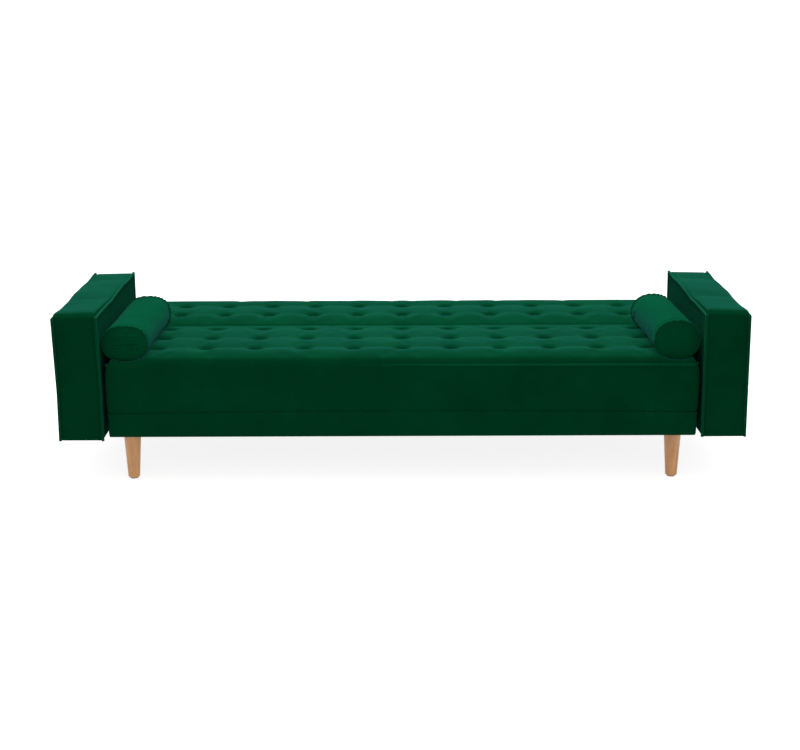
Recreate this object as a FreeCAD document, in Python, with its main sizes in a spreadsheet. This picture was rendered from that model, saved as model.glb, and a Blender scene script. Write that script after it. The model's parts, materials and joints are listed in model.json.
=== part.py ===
"""Futon sofa bed: a tufted seat and a hinged backrest on a wooden base, between two box arms.

+Z is up, +X is to the sitter's left-hand end and +Y runs from the front edge to the back.
The origin is on the floor, in the middle of the sofa bed when it is folded out flat.
Millimetres throughout.
"""

import FreeCAD, Part
import math
import os
import re

import Sketcher

# The driving dimensions. Every one can be changed by itself.
SIZES = {
    # overall
    "seat_width": 1840,
    "seat_depth": 540,
    "back_length": 389,
    "leg_height": 150,
    "base_height": 74,
    "cushion_height": 176,
    "front_setback": 20,
    "rear_setback": 5,
    "cushion_gap": 10,
    # covers, welts and soft edges
    "cover_wall": 2,
    "dust_cover_wall": 1,
    "welt": 6,
    "welt_drop": 24,
    "welt_corner": 14,
    "edge_radius": 10,
    "hinge_edge_radius": 40,
    "seam_welt_angle": 60,
    # base and seat frames
    "rail_wall": 25,
    "seat_rail_height": 60,
    "block_side": 70,
    "block_height": 50,
    "pad_radius": 10,
    "pad_height": 6,
    "frame_screw_radius": 3,
    "frame_screw_length": 110,
    # seat springs
    "spring_wire": 3.5,
    "spring_half_width": 24,
    "spring_pitch": 22,
    "clip_width": 14,
    "clip_depth": 18,
    "clip_height": 8,
    "felt_wall": 4,
    # tufting
    "tuft_margin_across": 145,
    "tuft_margin_along": 120,
    "button_radius": 11,
    "button_height": 6,
    "tie_radius": 1,
    "tie_play": 0.5,
    "toggle_radius": 2.5,
    "toggle_length": 20,
    # backrest frame
    "back_rail_width": 40,
    "back_rail_height": 40,
    "webbing_width": 50,
    "webbing_wall": 2,
    # arms
    "arm_thick": 142,
    "arm_rise": 153,
    "arm_depth": 720,
    "arm_gap": 13,
    "arm_edge_radius": 8,
    "arm_welt": 8,
    "arm_padding_wall": 10,
    "arm_panel_wall": 12,
    "arm_post": 20,
    # arm bolts
    "bolt_radius": 4,
    "bolt_play": 0.5,
    "bolt_head_radius": 8.5,
    "bolt_head_height": 2.5,
    "bolt_socket": 5,
    "bolt_socket_depth": 1.5,
    "bolt_reach": 8,
    "bolt_end_margin": 110,
    "washer_radius": 11,
    "washer_wall": 1.5,
    "standoff_radius": 12,
    "nut_radius": 5.5,
    "nut_flange_radius": 10,
    "nut_flange_wall": 1.5,
    "thread_play": 0.05,
    # legs
    "leg_top_radius": 27.5,
    "leg_foot_radius": 18.5,
    "leg_foot_round": 3,
    "glide_radius": 13,
    "glide_height": 3,
    "leg_plate_side": 60,
    "leg_plate_wall": 2,
    "leg_bolt_depth": 40,
    # wood screws
    "screw_radius": 2,
    "screw_length": 18,
    "screw_head_radius": 3.6,
    "screw_head_height": 2,
    "screw_edge": 7,
    # folding hinges
    "hinge_drop": 24,
    "hinge_wall": 3,
    "hinge_play": 0.4,
    "lobe_radius": 22,
    "rivet_radius": 5,
    "rivet_head_radius": 9,
    "rivet_head_height": 2.5,
    "running_play": 0.06,
    "bracket_foot_length": 120,
    "bracket_foot_height": 34,
    "bracket_neck": 46,
    "bracket_inset": 10,
    "notch_radius": 6,
    "notch_step": 26,
    "over_travel": 8,
    "nose_radius": 4,
    "nose_clearance": 0.5,
    "pawl_length": 36,
    "pawl_width": 9,
    "pawl_boss_radius": 8,
    "pawl_pin_radius": 3,
    "pawl_pin_head_radius": 5.5,
    "pawl_pin_head_height": 1.5,
    "pawl_pin_length": 14,
    "pawl_spring_wire": 0.8,
    "pawl_spring_turns": 4,
    "pawl_spring_leg": 12,
    # bolsters
    "bolster_width": 141,
    "bolster_height": 112,
    "bolster_length": 470,
    "bolster_round": 16,
    "bolster_setback": 45,
    "bolster_overhang": 8,
    "soft_clearance": 0.3,
}

TUFT_COLUMNS = 11
SEAT_TUFT_ROWS = 3
BACK_TUFT_ROWS = 2
SPRINGS = TUFT_COLUMNS - 1  # each spring and strap runs midway between two columns
NOTCHES = 4  # flat, two reclined positions and upright

# Places that follow from the sizes, so that each piece is seated on its neighbours.
PLACES = {
    "half_width": "seat_width / 2",
    "total_depth": "front_setback + seat_depth + cushion_gap + back_length + welt",
    "arm_front": "-total_depth / 2",
    "arm_rear": "arm_front + arm_depth",
    "seat_front": "arm_front + front_setback",
    "seat_rear": "seat_front + seat_depth",
    "back_front": "seat_rear + cushion_gap",
    "back_rear": "back_front + back_length",
    "base_rear": "arm_rear - rear_setback",
    "base_bottom": "leg_height",
    "base_top": "base_bottom + base_height",
    "seat_top": "base_top + cushion_height",
    "back_bottom": "base_top + pad_height",
    "rail_x": "half_width - cover_wall",
    "rail_inner_x": "rail_x - rail_wall",
    "rail_bottom": "base_bottom + dust_cover_wall",
    "seat_rail_top": "base_top + seat_rail_height",
    "felt_bottom": "seat_rail_top + clip_height",
    "felt_top": "felt_bottom + felt_wall",
    "back_rail_bottom": "back_bottom + cover_wall",
    "back_rail_top": "back_rail_bottom + back_rail_height",
    "back_foam_bottom": "back_rail_top + webbing_wall",
    "tuft_pitch": f"(seat_width - 2 * tuft_margin_across) / {TUFT_COLUMNS - 1}",
    "spring_span": f"{SPRINGS - 1} * tuft_pitch",
    "welt_z": "seat_top - welt_drop",
    "block_x": "rail_inner_x - block_side / 2",
    "block_front_y": "seat_front + cover_wall + rail_wall + block_side / 2",
    "block_rear_y": "base_rear - cover_wall - rail_wall - block_side / 2",
    "leg_top": "base_bottom - leg_plate_wall",
    "arm_top": "seat_top + arm_rise",
    "arm_welt_proud": "(arm_edge_radius + arm_welt / 2) * sqrt(0.5) + arm_welt / 2 - arm_edge_radius",
    "arm_inner": "half_width + arm_gap",
    "arm_outer": "arm_inner + arm_thick",
    "arm_face_in": "arm_inner + arm_welt_proud",
    "arm_face_out": "arm_outer - arm_welt_proud",
    "arm_face_front": "arm_front + arm_welt_proud",
    "arm_face_rear": "arm_rear - arm_welt_proud",
    "arm_face_top": "arm_top - arm_welt_proud",
    "arm_wall": "cover_wall + arm_padding_wall",
    "panel_in": "arm_face_in + arm_wall",
    "panel_out": "arm_face_out - arm_wall",
    "panel_front": "arm_face_front + arm_wall",
    "panel_rear": "arm_face_rear - arm_wall",
    "panel_top": "arm_face_top - arm_wall",
    "post_in": "panel_in + arm_panel_wall",
    "post_out": "panel_out - arm_panel_wall",
    "bolt_z": "(rail_bottom + base_top) / 2",
    "bolt_first_y": "seat_front + bolt_end_margin",
    "bolt_span": "base_rear - bolt_end_margin - bolt_first_y",
    "hinge_y": "seat_rear + cushion_gap / 2",
    "hinge_z": "seat_top - hinge_drop",
    "hinge_in": "half_width",
    "hinge_mid": "hinge_in + hinge_wall",
    "leaf_in": "hinge_mid + hinge_play",
    "leaf_out": "leaf_in + hinge_wall",
    "pawl_y": "hinge_y - lobe_radius - nose_radius - nose_clearance",
    "pawl_z": "hinge_z - pawl_length",
    "seat_foot_z": "base_top + seat_rail_height / 2",
    "back_foot_z": "back_rail_bottom + back_rail_height / 2",
    "back_foot_y": "back_front + back_rail_width + 5",
    "bolster_bottom": "seat_top + soft_clearance",
    "bolster_x": "half_width + bolster_overhang - bolster_width / 2",
    "bolster_front": "arm_front + bolster_setback",
}

doc = FreeCAD.newDocument("futon_sofa_bed")
sheet = doc.addObject("Spreadsheet::Sheet", "Sizes")
for row, (alias, number) in enumerate(SIZES.items(), start=1):
    sheet.set(f"A{row}", alias)
    sheet.set(f"B{row}", str(number))
    sheet.setAlias(f"B{row}", alias)
doc.recompute()

nodes = {}  # label of each sub-part -> its object
SIDES = {"right": -1, "left": 1}


def expand(text):
    """An expression over the sheet's cells, from the plain names in SIZES and PLACES."""

    def swap(match):
        word = match.group(0)
        if word in PLACES:
            return f"({expand(PLACES[word])})"
        return f"Sizes.{word}" if word in SIZES else word

    return re.sub(r"[A-Za-z_]\w*", swap, str(text))


def value(text):
    """The number that an expression has now."""
    return float(sheet.evalExpression(expand(text)))


def bind(obj, **expressions):
    """Binds properties of obj to expressions. A double underscore stands for a dot."""
    for name, text in expressions.items():
        obj.setExpression(name.replace("__", "."), expand(text))
    return obj


def place(obj, x=0, y=0, z=0):
    return bind(obj, Placement__Base__x=x, Placement__Base__y=y, Placement__Base__z=z)


def node(label, obj):
    """Makes obj the sub-part of that name."""
    obj.Label = label
    nodes[label] = obj
    return obj


# --- Part primitives and booleans -------------------------------------------------------------


def box(name, x, y, z):
    """A block between a low and a high expression on each axis."""
    made = doc.addObject("Part::Box", name)
    bind(
        made,
        Length=f"({x[1]}) - ({x[0]})",
        Width=f"({y[1]}) - ({y[0]})",
        Height=f"({z[1]}) - ({z[0]})",
    )
    return place(made, x[0], y[0], z[0])


def rod(name, axis, radius, start, length):
    """A cylinder along X or Z that begins at the point start."""
    made = doc.addObject("Part::Cylinder", name)
    if axis == "X":
        turn = FreeCAD.Rotation(FreeCAD.Vector(0, 1, 0), 90)
        made.Placement = FreeCAD.Placement(FreeCAD.Vector(), turn)
    bind(made, Radius=radius, Height=length)
    return place(made, *start)


def group(name, members):
    made = doc.addObject("Part::Compound", name)
    made.Links = members
    return made


def cut(name, base, tool):
    made = doc.addObject("Part::Cut", name)
    made.Base, made.Tool = base, tool
    return made


def common(name, base, tool):
    made = doc.addObject("Part::MultiCommon", name)
    made.Shapes = [base, tool]
    return made


def fuse(name, members):
    made = doc.addObject("Part::MultiFuse", name)
    made.Shapes = members
    return made


def mirrored(name, source):
    """The same piece at the other end of the sofa bed."""
    made = doc.addObject("Part::Mirroring", name)
    made.Source = source
    made.Normal = FreeCAD.Vector(1, 0, 0)
    return made


def both_ends(name, source):
    return group(name, [source, mirrored(f"{name}_mirror", source)])


# --- PartDesign bodies ------------------------------------------------------------------------


def origin_feature(body, role):
    return next(f for f in body.Origin.OriginFeatures if f.Role == role)


def sketch_in(body, name, plane, offset="0"):
    made = body.newObject("Sketcher::SketchObject", name)
    made.AttachmentSupport = (origin_feature(body, plane), [""])
    made.MapMode = "FlatFace"
    made.setExpression("AttachmentOffset.Base.z", expand(offset))
    return made


def pin_point(sketch, geometry, end, across, up):
    """Holds one point of a sketch at a pair of expressions from the sketch's origin."""
    for kind, text in (("DistanceX", across), ("DistanceY", up)):
        number = value(text)
        if abs(number) < 1e-9:
            other = {"DistanceX": -2, "DistanceY": -1}[kind]
            sketch.addConstraint(Sketcher.Constraint("PointOnObject", geometry, end, other))
            continue
        index = sketch.addConstraint(
            Sketcher.Constraint(kind, -1, 1, geometry, end, number)
        )
        sketch.setExpression(f"Constraints[{index}]", expand(text))


def outline(sketch, points):
    """A closed polygon whose corners are pairs of expressions."""
    corners = [FreeCAD.Vector(value(a), value(b), 0) for a, b in points]
    first = sketch.GeometryCount
    count = len(corners)
    for i in range(count):
        sketch.addGeometry(Part.LineSegment(corners[i], corners[(i + 1) % count]))
    for i in range(count):
        sketch.addConstraint(
            Sketcher.Constraint("Coincident", first + i, 2, first + (i + 1) % count, 1)
        )
    for i, (a, b) in enumerate(points):
        pin_point(sketch, first + i, 1, a, b)


def circle(sketch, across, up, radius):
    centre = FreeCAD.Vector(value(across), value(up), 0)
    index = sketch.addGeometry(Part.Circle(centre, FreeCAD.Vector(0, 0, 1), value(radius)))
    pin_point(sketch, index, 3, across, up)
    size = sketch.addConstraint(Sketcher.Constraint("Radius", index, value(radius)))
    sketch.setExpression(f"Constraints[{size}]", expand(radius))


def new_body(name):
    body = doc.addObject("PartDesign::Body", name)
    body.AllowCompound = True
    return body


def pad(body, sketch, length):
    made = body.newObject("PartDesign::Pad", f"{body.Name}_pad")
    made.Profile = sketch
    bind(made, Length=length)
    sketch.Visibility = False
    return made


def pocket(body, sketch, length):
    """Cuts along the sketch's normal, which is the way a pad from it would grow."""
    made = body.newObject("PartDesign::Pocket", f"{body.Name}_pocket")
    made.Profile = sketch
    made.Reversed = True
    bind(made, Length=length)
    return made


def turned(name, profile):
    """A piece turned about Z, from the half section's (radius, height) corners."""
    body = new_body(name)
    sketch = sketch_in(body, f"{name}_section", "XZ_Plane")
    outline(sketch, profile)
    made = body.newObject("PartDesign::Revolution", f"{name}_turn")
    made.Profile = sketch
    made.ReferenceAxis = (sketch, ["V_Axis"])
    made.Angle = 360
    return body


def pattern(body, originals, span_x, count_x, span_y="0", count_y=1):
    """Repeats features of a body along X, and along Y where count_y is over 1."""
    made = body.newObject("PartDesign::LinearPattern", f"{body.Name}_pattern")
    made.Originals = originals
    made.Direction = (origin_feature(body, "X_Axis"), [""])
    made.Occurrences = count_x
    bind(made, Length=span_x)
    if count_y > 1:
        made.Direction2 = (origin_feature(body, "Y_Axis"), [""])
        made.Occurrences2 = count_y
        bind(made, Length2=span_y)
    body.Tip = made
    return made


def edges_where(feature, keep):
    """The names of a feature's edges whose bounding box passes the test."""
    return [
        f"Edge{i}" for i, edge in enumerate(feature.Shape.Edges, 1) if keep(edge.BoundBox)
    ]


def round_edges(body, base, keep, radius):
    doc.recompute()
    made = body.newObject("PartDesign::Fillet", f"{body.Name}_fillet")
    made.Base = (base, edges_where(base, keep))
    bind(made, Radius=radius)
    return made


def cushion_block(name, x, y, z, hinge_edge, inset="0"):
    """A cushion's outer form: a block with soft top edges, softest where it meets its neighbour.

    hinge_edge is the expression for the Y of that edge. inset makes the same form further in.
    """
    body = new_body(name)
    sketch = sketch_in(body, f"{name}_plan", "XY_Plane", z[0])
    outline(sketch, [(x[0], y[0]), (x[1], y[0]), (x[1], y[1]), (x[0], y[1])])
    block = pad(body, sketch, f"({z[1]}) - ({z[0]})")
    top, seam = value(z[1]), value(hinge_edge)

    def at_top(b):
        return abs(b.ZMin - top) < 1e-6

    def at_seam(b):
        return abs(b.YMin - seam) < 1e-6 and abs(b.YMax - seam) < 1e-6

    def free_corner(b):
        return b.ZLength > 1 and not at_seam(b)

    corners = round_edges(body, block, free_corner, f"welt_corner - welt / 2 - ({inset})")
    seam_edge = round_edges(
        body, corners, lambda b: at_top(b) and at_seam(b), f"hinge_edge_radius - ({inset})"
    )
    round_edges(
        body, seam_edge, lambda b: at_top(b) and b.YMin != b.YMax, f"edge_radius - ({inset})"
    )
    return body


# --- Round stock bent along a path --------------------------------------------------------------


def bent_path(points, bend):
    """Straight runs through the points, with a tangent arc of radius bend at each corner."""
    points = [FreeCAD.Vector(*p) for p in points]
    edges, last = [], points[0]
    for before, corner, after in zip(points, points[1:], points[2:]):
        inward = (before - corner).normalize()
        outward = (after - corner).normalize()
        half_turn = (math.pi - inward.getAngle(outward)) / 2
        reach = bend * math.tan(half_turn)
        start = corner + inward * reach
        end = corner + outward * reach
        middle_way = (inward + outward).normalize()
        middle = corner + middle_way * (bend / math.cos(half_turn) - bend)
        if (start - last).Length > 1e-6:
            edges.append(Part.LineSegment(last, start).toShape())
        edges.append(Part.Arc(start, middle, end).toShape())
        last = end
    edges.append(Part.LineSegment(last, points[-1]).toShape())
    return Part.Wire(edges)


def bent_rod(points, bend, radius):
    path = bent_path(points, bend)
    first = path.Edges[0]
    start = first.valueAt(first.FirstParameter)
    section = Part.Wire(Part.makeCircle(radius, start, first.tangentAt(first.FirstParameter)))
    pipe = Part.BRepOffsetAPI.MakePipeShell(path)
    pipe.setFrenetMode(True)
    pipe.add(section)
    pipe.build()
    pipe.makeSolid()
    return pipe.shape()


def shaped(name, shape):
    """A piece whose form is bent or coiled stock."""
    made = doc.addObject("Part::Feature", name)
    made.Shape = shape
    return made


# --- Fasteners ----------------------------------------------------------------------------------


def wood_screw(name, x, y, z, along):
    """A pan-head wood screw whose head bears on (x, y, z) and whose shank runs along -X or +Z."""
    if along == "Z":
        head = rod(
            f"{name}_head",
            "Z",
            "screw_head_radius",
            (x, y, f"{z} - screw_head_height"),
            "screw_head_height",
        )
        shank = rod(f"{name}_shank", "Z", "screw_radius", (x, y, z), "screw_length")
    else:
        head = rod(f"{name}_head", "X", "screw_head_radius", (x, y, z), "screw_head_height")
        shank = rod(
            f"{name}_shank", "X", "screw_radius", (f"{x} - screw_length", y, z), "screw_length"
        )
    return fuse(name, [head, shank])


# --- Base ---------------------------------------------------------------------------------------


def bolt_places():
    return [f"bolt_first_y + bolt_span * {i} / 2" for i in range(3)]


def leg_places():
    """The four legs: name, x and y."""
    return [
        (f"{row}_{side}_leg", f"{sign} * block_x", y)
        for row, y in (("front", "block_front_y"), ("rear", "block_rear_y"))
        for side, sign in SIDES.items()
    ]


def bolt_bores():
    """The clearance bores that the arm bolts pass through, at both ends."""
    bores = [
        rod(
            f"bolt_bore_{i}",
            "X",
            "bolt_radius + bolt_play",
            ("rail_inner_x - 1", y, "bolt_z"),
            "post_in - rail_inner_x",
        )
        for i, y in enumerate(bolt_places())
    ]
    return both_ends("bolt_bores", group("bolt_bores_left", bores))


def leg_bores():
    """The leg bolt and screw bores through the plates, the dust cover and the blocks."""
    spread = "(leg_plate_side / 2 - screw_edge)"
    bores = []
    for name, x, y in leg_places():
        bores.append(
            rod(
                f"{name}_bolt_bore", "Z", "bolt_radius", (x, y, "leg_top - 1"), "leg_bolt_depth + 2"
            )
        )
        for i, (a, b) in enumerate(((1, 1), (1, -1), (-1, 1), (-1, -1))):
            bores.append(
                rod(
                    f"{name}_screw_bore_{i}",
                    "Z",
                    "screw_radius",
                    (f"{x} + {a} * {spread}", f"{y} + {b} * {spread}", "leg_top - 1"),
                    "screw_length + 1",
                )
            )
    return group("leg_bores", bores)


def build_base():
    rail_z = ("rail_bottom", "base_top")
    front_y = ("seat_front + cover_wall", "seat_front + cover_wall + rail_wall")
    rear_y = ("base_rear - cover_wall - rail_wall", "base_rear - cover_wall")
    between = (front_y[1], rear_y[0])
    bolts, legs = bolt_bores(), leg_bores()
    across = ("-rail_x", "rail_x")

    front = box("base_front_rail_block", across, front_y, rail_z)
    node("base_front_rail", cut("base_front_rail_cut", front, frame_screw_bores("front")))
    node("base_rear_rail", box("base_rear_rail_block", across, rear_y, rail_z))

    side = box("base_side_rail_block", ("rail_inner_x", "rail_x"), between, rail_z)
    node("base_side_rails", cut("base_side_rails_cut", both_ends("base_side_pair", side), bolts))

    beams = [
        box(
            f"cross_rail_{i}",
            (f"{i} * 3 * tuft_pitch - rail_wall / 2", f"{i} * 3 * tuft_pitch + rail_wall / 2"),
            between,
            rail_z,
        )
        for i in (-1, 0, 1)
    ]
    beam_group = group("cross_rail_group", beams)
    node("base_cross_rails", cut("base_cross_rails_cut", beam_group, frame_screw_bores("rear")))

    blocks = [
        box(
            f"{name}_block",
            (f"{x} - block_side / 2", f"{x} + block_side / 2"),
            (f"{y} - block_side / 2", f"{y} + block_side / 2"),
            ("rail_bottom", "rail_bottom + block_height"),
        )
        for name, x, y in leg_places()
    ]
    node("leg_blocks", cut("leg_blocks_cut", group("leg_block_group", blocks), legs))

    depth = ("seat_front", "base_rear")
    outer = box(
        "base_cover_outer", ("-half_width", "half_width"), depth, ("base_bottom", "base_top")
    )
    inner = box(
        "base_cover_inner",
        across,
        ("seat_front + cover_wall", "base_rear - cover_wall"),
        ("base_bottom - 1", "base_top + 1"),
    )
    ring = cut("base_cover_ring", outer, inner)
    node("base_cover", cut("base_cover_cut", ring, bolts))

    cloth = box(
        "dust_cover_sheet",
        across,
        ("seat_front + cover_wall", "base_rear - cover_wall"),
        ("base_bottom", "rail_bottom"),
    )
    deck = box(
        "deck_sheet",
        across,
        ("seat_rear", "base_rear - cover_wall"),
        ("base_top", "base_top + dust_cover_wall"),
    )
    sheets = group("dust_cover_sheets", [cut("dust_cover_cut", cloth, legs), deck])
    node("base_dust_covers", sheets)

    rear_middle = "base_rear - cover_wall - rail_wall / 2"
    deck_top = "base_top + dust_cover_wall"
    pads = [
        rod(
            f"rest_pad_{i}",
            "Z",
            "pad_radius",
            (f"{i} * 4 * tuft_pitch", rear_middle, deck_top),
            "pad_height - dust_cover_wall - soft_clearance",
        )
        for i in (-1, 0, 1)
    ]
    node("rest_pads", group("rest_pad_group", pads))
    return bolts, legs


def frame_screw_places(row):
    """The long screws that hold the seat frame down on the base."""
    if row == "front":
        return [
            (f"{i} * tuft_pitch", "seat_front + cover_wall + rail_wall / 2") for i in (-4, -2, 2, 4)
        ]
    return [(f"{i} * tuft_pitch", "seat_rear - cover_wall - rail_wall / 2") for i in (-3, 0, 3)]


def frame_screw_bores(row):
    return group(
        f"frame_screw_bores_{row}",
        [
            rod(
                f"frame_bore_{row}_{i}",
                "Z",
                "frame_screw_radius",
                (x, y, "seat_rail_top - frame_screw_length"),
                "frame_screw_length + 1",
            )
            for i, (x, y) in enumerate(frame_screw_places(row))
        ],
    )


def build_frame_screws():
    screws = []
    for row in ("front", "rear"):
        for i, (x, y) in enumerate(frame_screw_places(row)):
            shank = rod(
                f"frame_shank_{row}_{i}",
                "Z",
                "frame_screw_radius",
                (x, y, "seat_rail_top - frame_screw_length"),
                "frame_screw_length",
            )
            head = rod(
                f"frame_head_{row}_{i}",
                "Z",
                "2 * frame_screw_radius",
                (x, y, "seat_rail_top"),
                "frame_screw_radius",
            )
            screws.append(fuse(f"frame_screw_{row}_{i}", [shank, head]))
    node("frame_screws", group("frame_screw_group", screws))


# --- Legs ---------------------------------------------------------------------------------------


def build_legs(bores):
    plates, bolts, screws, glides = [], [], [], []
    spread = "(leg_plate_side / 2 - screw_edge)"
    for name, x, y in leg_places():
        taper = turned(
            f"{name}_turned",
            [
                ("0", "glide_height"),
                ("leg_foot_radius - leg_foot_round", "glide_height"),
                ("leg_foot_radius", "glide_height + leg_foot_round"),
                ("leg_top_radius", "leg_top"),
                ("0", "leg_top"),
            ],
        )
        place(taper, x, y)
        bore = rod(
            f"{name}_bore",
            "Z",
            "bolt_radius",
            (x, y, "leg_top - leg_bolt_depth"),
            "leg_bolt_depth + 1",
        )
        node(name, cut(f"{name}_cut", taper, bore))
        glides.append(rod(f"{name}_glide", "Z", "glide_radius", (x, y, 0), "glide_height"))
        bolts.append(
            rod(
                f"{name}_bolt",
                "Z",
                "bolt_radius",
                (x, y, "leg_top - leg_bolt_depth"),
                "2 * leg_bolt_depth",
            )
        )
        half = "leg_plate_side / 2"
        plates.append(
            box(
                f"{name}_plate",
                (f"{x} - {half}", f"{x} + {half}"),
                (f"{y} - {half}", f"{y} + {half}"),
                ("leg_top", "base_bottom"),
            )
        )
        for i, (a, b) in enumerate(((1, 1), (1, -1), (-1, 1), (-1, -1))):
            screws.append(
                wood_screw(
                    f"{name}_screw_{i}",
                    f"{x} + {a} * {spread}",
                    f"{y} + {b} * {spread}",
                    "leg_top",
                    "Z",
                )
            )
    node("leg_plates", cut("leg_plates_cut", group("leg_plate_group", plates), bores))
    node("leg_bolts", group("leg_bolt_group", bolts))
    node("leg_glides", group("leg_glide_group", glides))
    return screws


# --- Tufting ------------------------------------------------------------------------------------


def tufts(name, first_y, span_y, rows, top, underside):
    """Buttons, their ties and the bores for the ties, one set for each cushion."""
    span_x = f"{TUFT_COLUMNS - 1} * tuft_pitch"
    first_x = f"-{span_x} / 2"

    button = turned(
        f"{name}_button",
        [
            ("0", "0"),
            ("button_radius", "0"),
            ("button_radius", "button_height * 0.4"),
            ("button_radius * 0.6", "button_height * 0.9"),
            ("0", "button_height"),
        ],
    )
    doc.recompute()
    pattern(button, [button.Tip], span_x, TUFT_COLUMNS, span_y, rows)
    place(button, first_x, first_y, top)
    node(f"{name}_buttons", button)

    tie = new_body(f"{name}_tie")
    plan = sketch_in(tie, f"{name}_tie_plan", "XY_Plane", f"{underside} - toggle_radius")
    circle(plan, "0", "0", "tie_radius")
    stem = pad(tie, plan, f"{top} - {underside} + toggle_radius")
    end = sketch_in(tie, f"{name}_toggle_end", "YZ_Plane", "-toggle_length / 2")
    circle(end, "0", f"{underside} - toggle_radius", "toggle_radius")
    bar = pad(tie, end, "toggle_length")
    doc.recompute()
    pattern(tie, [stem, bar], span_x, TUFT_COLUMNS, span_y, rows)
    place(tie, first_x, first_y, 0)
    node(f"{name}_button_ties", tie)

    bore = new_body(f"{name}_tie_bore")
    plan = sketch_in(bore, f"{name}_bore_plan", "XY_Plane", f"{underside} - 1")
    circle(plan, "0", "0", "tie_radius + tie_play")
    hole = pad(bore, plan, f"{top} - {underside} + 2")
    doc.recompute()
    pattern(bore, [hole], span_x, TUFT_COLUMNS, span_y, rows)
    place(bore, first_x, first_y, 0)
    return bore


# --- Seat ---------------------------------------------------------------------------------------


def side_screw_bores(name, places):
    """Bores for bracket screws through a cushion's side wall into its frame, at both ends."""
    bores = [
        rod(
            f"{name}_bore_{i}",
            "X",
            "screw_radius",
            ("hinge_in - screw_length - hinge_wall", y, z),
            "screw_length + 3 * hinge_wall",
        )
        for i, (y, z) in enumerate(places)
    ]
    return both_ends(f"{name}_bores", group(f"{name}_bores_left", bores))


def seat_screw_places():
    first = "hinge_y - bracket_foot_length - 5"
    return [(f"{first} + {share} * bracket_foot_length", "seat_foot_z") for share in (0.12, 0.5)]


def back_screw_places():
    return [
        (f"back_foot_y + {share} * bracket_foot_length", "back_foot_z")
        for share in (0.15, 0.5, 0.85)
    ]


def build_springs():
    """Sinuous springs from the front rail to the rear rail, midway between the button columns."""
    first = value("seat_front + cover_wall + rail_wall / 2")
    last = value("seat_rear - cover_wall - rail_wall / 2")
    bars = int((last - first) // value("spring_pitch"))
    bars += 1 - bars % 2
    step = (last - first) / bars
    level = value("seat_rail_top + clip_height / 2")
    reach = value("spring_half_width")
    pitch = value("tuft_pitch")
    points = []
    for i in range(bars + 1):
        y = first + i * step
        sides = (-reach, reach) if i % 2 == 0 else (reach, -reach)
        points += [(sides[0], y, level), (sides[1], y, level)]
    spring = bent_rod(points, step * 0.499, value("spring_wire / 2"))
    springs = []
    for column in range(SPRINGS):
        copy = spring.copy()
        copy.translate(FreeCAD.Vector((column - (SPRINGS - 1) / 2) * pitch, 0, 0))
        springs.append(copy)
    node("seat_springs", shaped("seat_spring_set", Part.makeCompound(springs)))

    clip = new_body("spring_clip")
    end = sketch_in(clip, "spring_clip_end", "YZ_Plane", "-clip_width / 2")
    half = "clip_depth / 2"
    outline(
        end, [(f"-{half}", "0"), (half, "0"), (half, "clip_height"), (f"-{half}", "clip_height")]
    )
    circle(end, "0", "clip_height / 2", "spring_wire / 2 + thread_play")
    body = pad(clip, end, "clip_width")
    doc.recompute()
    pattern(
        clip,
        [body],
        "spring_span",
        SPRINGS,
        "seat_depth - 2 * cover_wall - rail_wall",
        2,
    )
    place(clip, "-spring_span / 2", "seat_front + cover_wall + rail_wall / 2", "seat_rail_top")
    node("spring_clips", clip)


def build_seat():
    inside_x = ("-rail_x", "rail_x")
    inside_y = ("seat_front + cover_wall", "seat_rear - cover_wall")
    rail_z = ("base_top", "seat_rail_top")
    screws = side_screw_bores("seat_bracket_screw", seat_screw_places())

    hollow = cushion_block(
        "seat_cover_hollow",
        inside_x,
        inside_y,
        ("base_top - 1", "seat_top - cover_wall"),
        inside_y[1],
        "cover_wall",
    )

    front_y = (inside_y[0], f"{inside_y[0]} + rail_wall")
    rear_y = (f"{inside_y[1]} - rail_wall", inside_y[1])
    for row, along in (("front", front_y), ("rear", rear_y)):
        block = box(f"seat_{row}_rail_block", inside_x, along, rail_z)
        fitted = common(f"seat_{row}_rail_fitted", block, hollow)
        node(f"seat_{row}_rail", cut(f"seat_{row}_rail_cut", fitted, frame_screw_bores(row)))
    side = box("seat_side_rail_block", ("rail_inner_x", "rail_x"), (front_y[1], rear_y[0]), rail_z)
    node("seat_side_rails", cut("seat_side_rails_cut", both_ends("seat_side_pair", side), screws))

    bores = tufts(
        "seat",
        "seat_front + tuft_margin_along",
        "seat_depth - 2 * tuft_margin_along",
        SEAT_TUFT_ROWS,
        "seat_top",
        "felt_bottom",
    )
    felt = box("felt_sheet", inside_x, inside_y, ("felt_bottom", "felt_top"))
    node("seat_insulator", cut("felt_cut", common("felt_fitted", felt, hollow), bores))
    foam = cushion_block(
        "seat_foam_form",
        inside_x,
        inside_y,
        ("felt_top", "seat_top - cover_wall"),
        inside_y[1],
        "cover_wall",
    )
    node("seat_foam", cut("seat_foam_cut", foam, bores))

    outer = cushion_block(
        "seat_cover_form",
        ("-half_width", "half_width"),
        ("seat_front", "seat_rear"),
        ("base_top", "seat_top"),
        "seat_rear",
    )
    shell = cut("seat_cover_shell", outer, hollow)
    node("seat_cover", cut("seat_cover_cut", shell, group("seat_cover_bores", [bores, screws])))


# --- Backrest -----------------------------------------------------------------------------------


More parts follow.
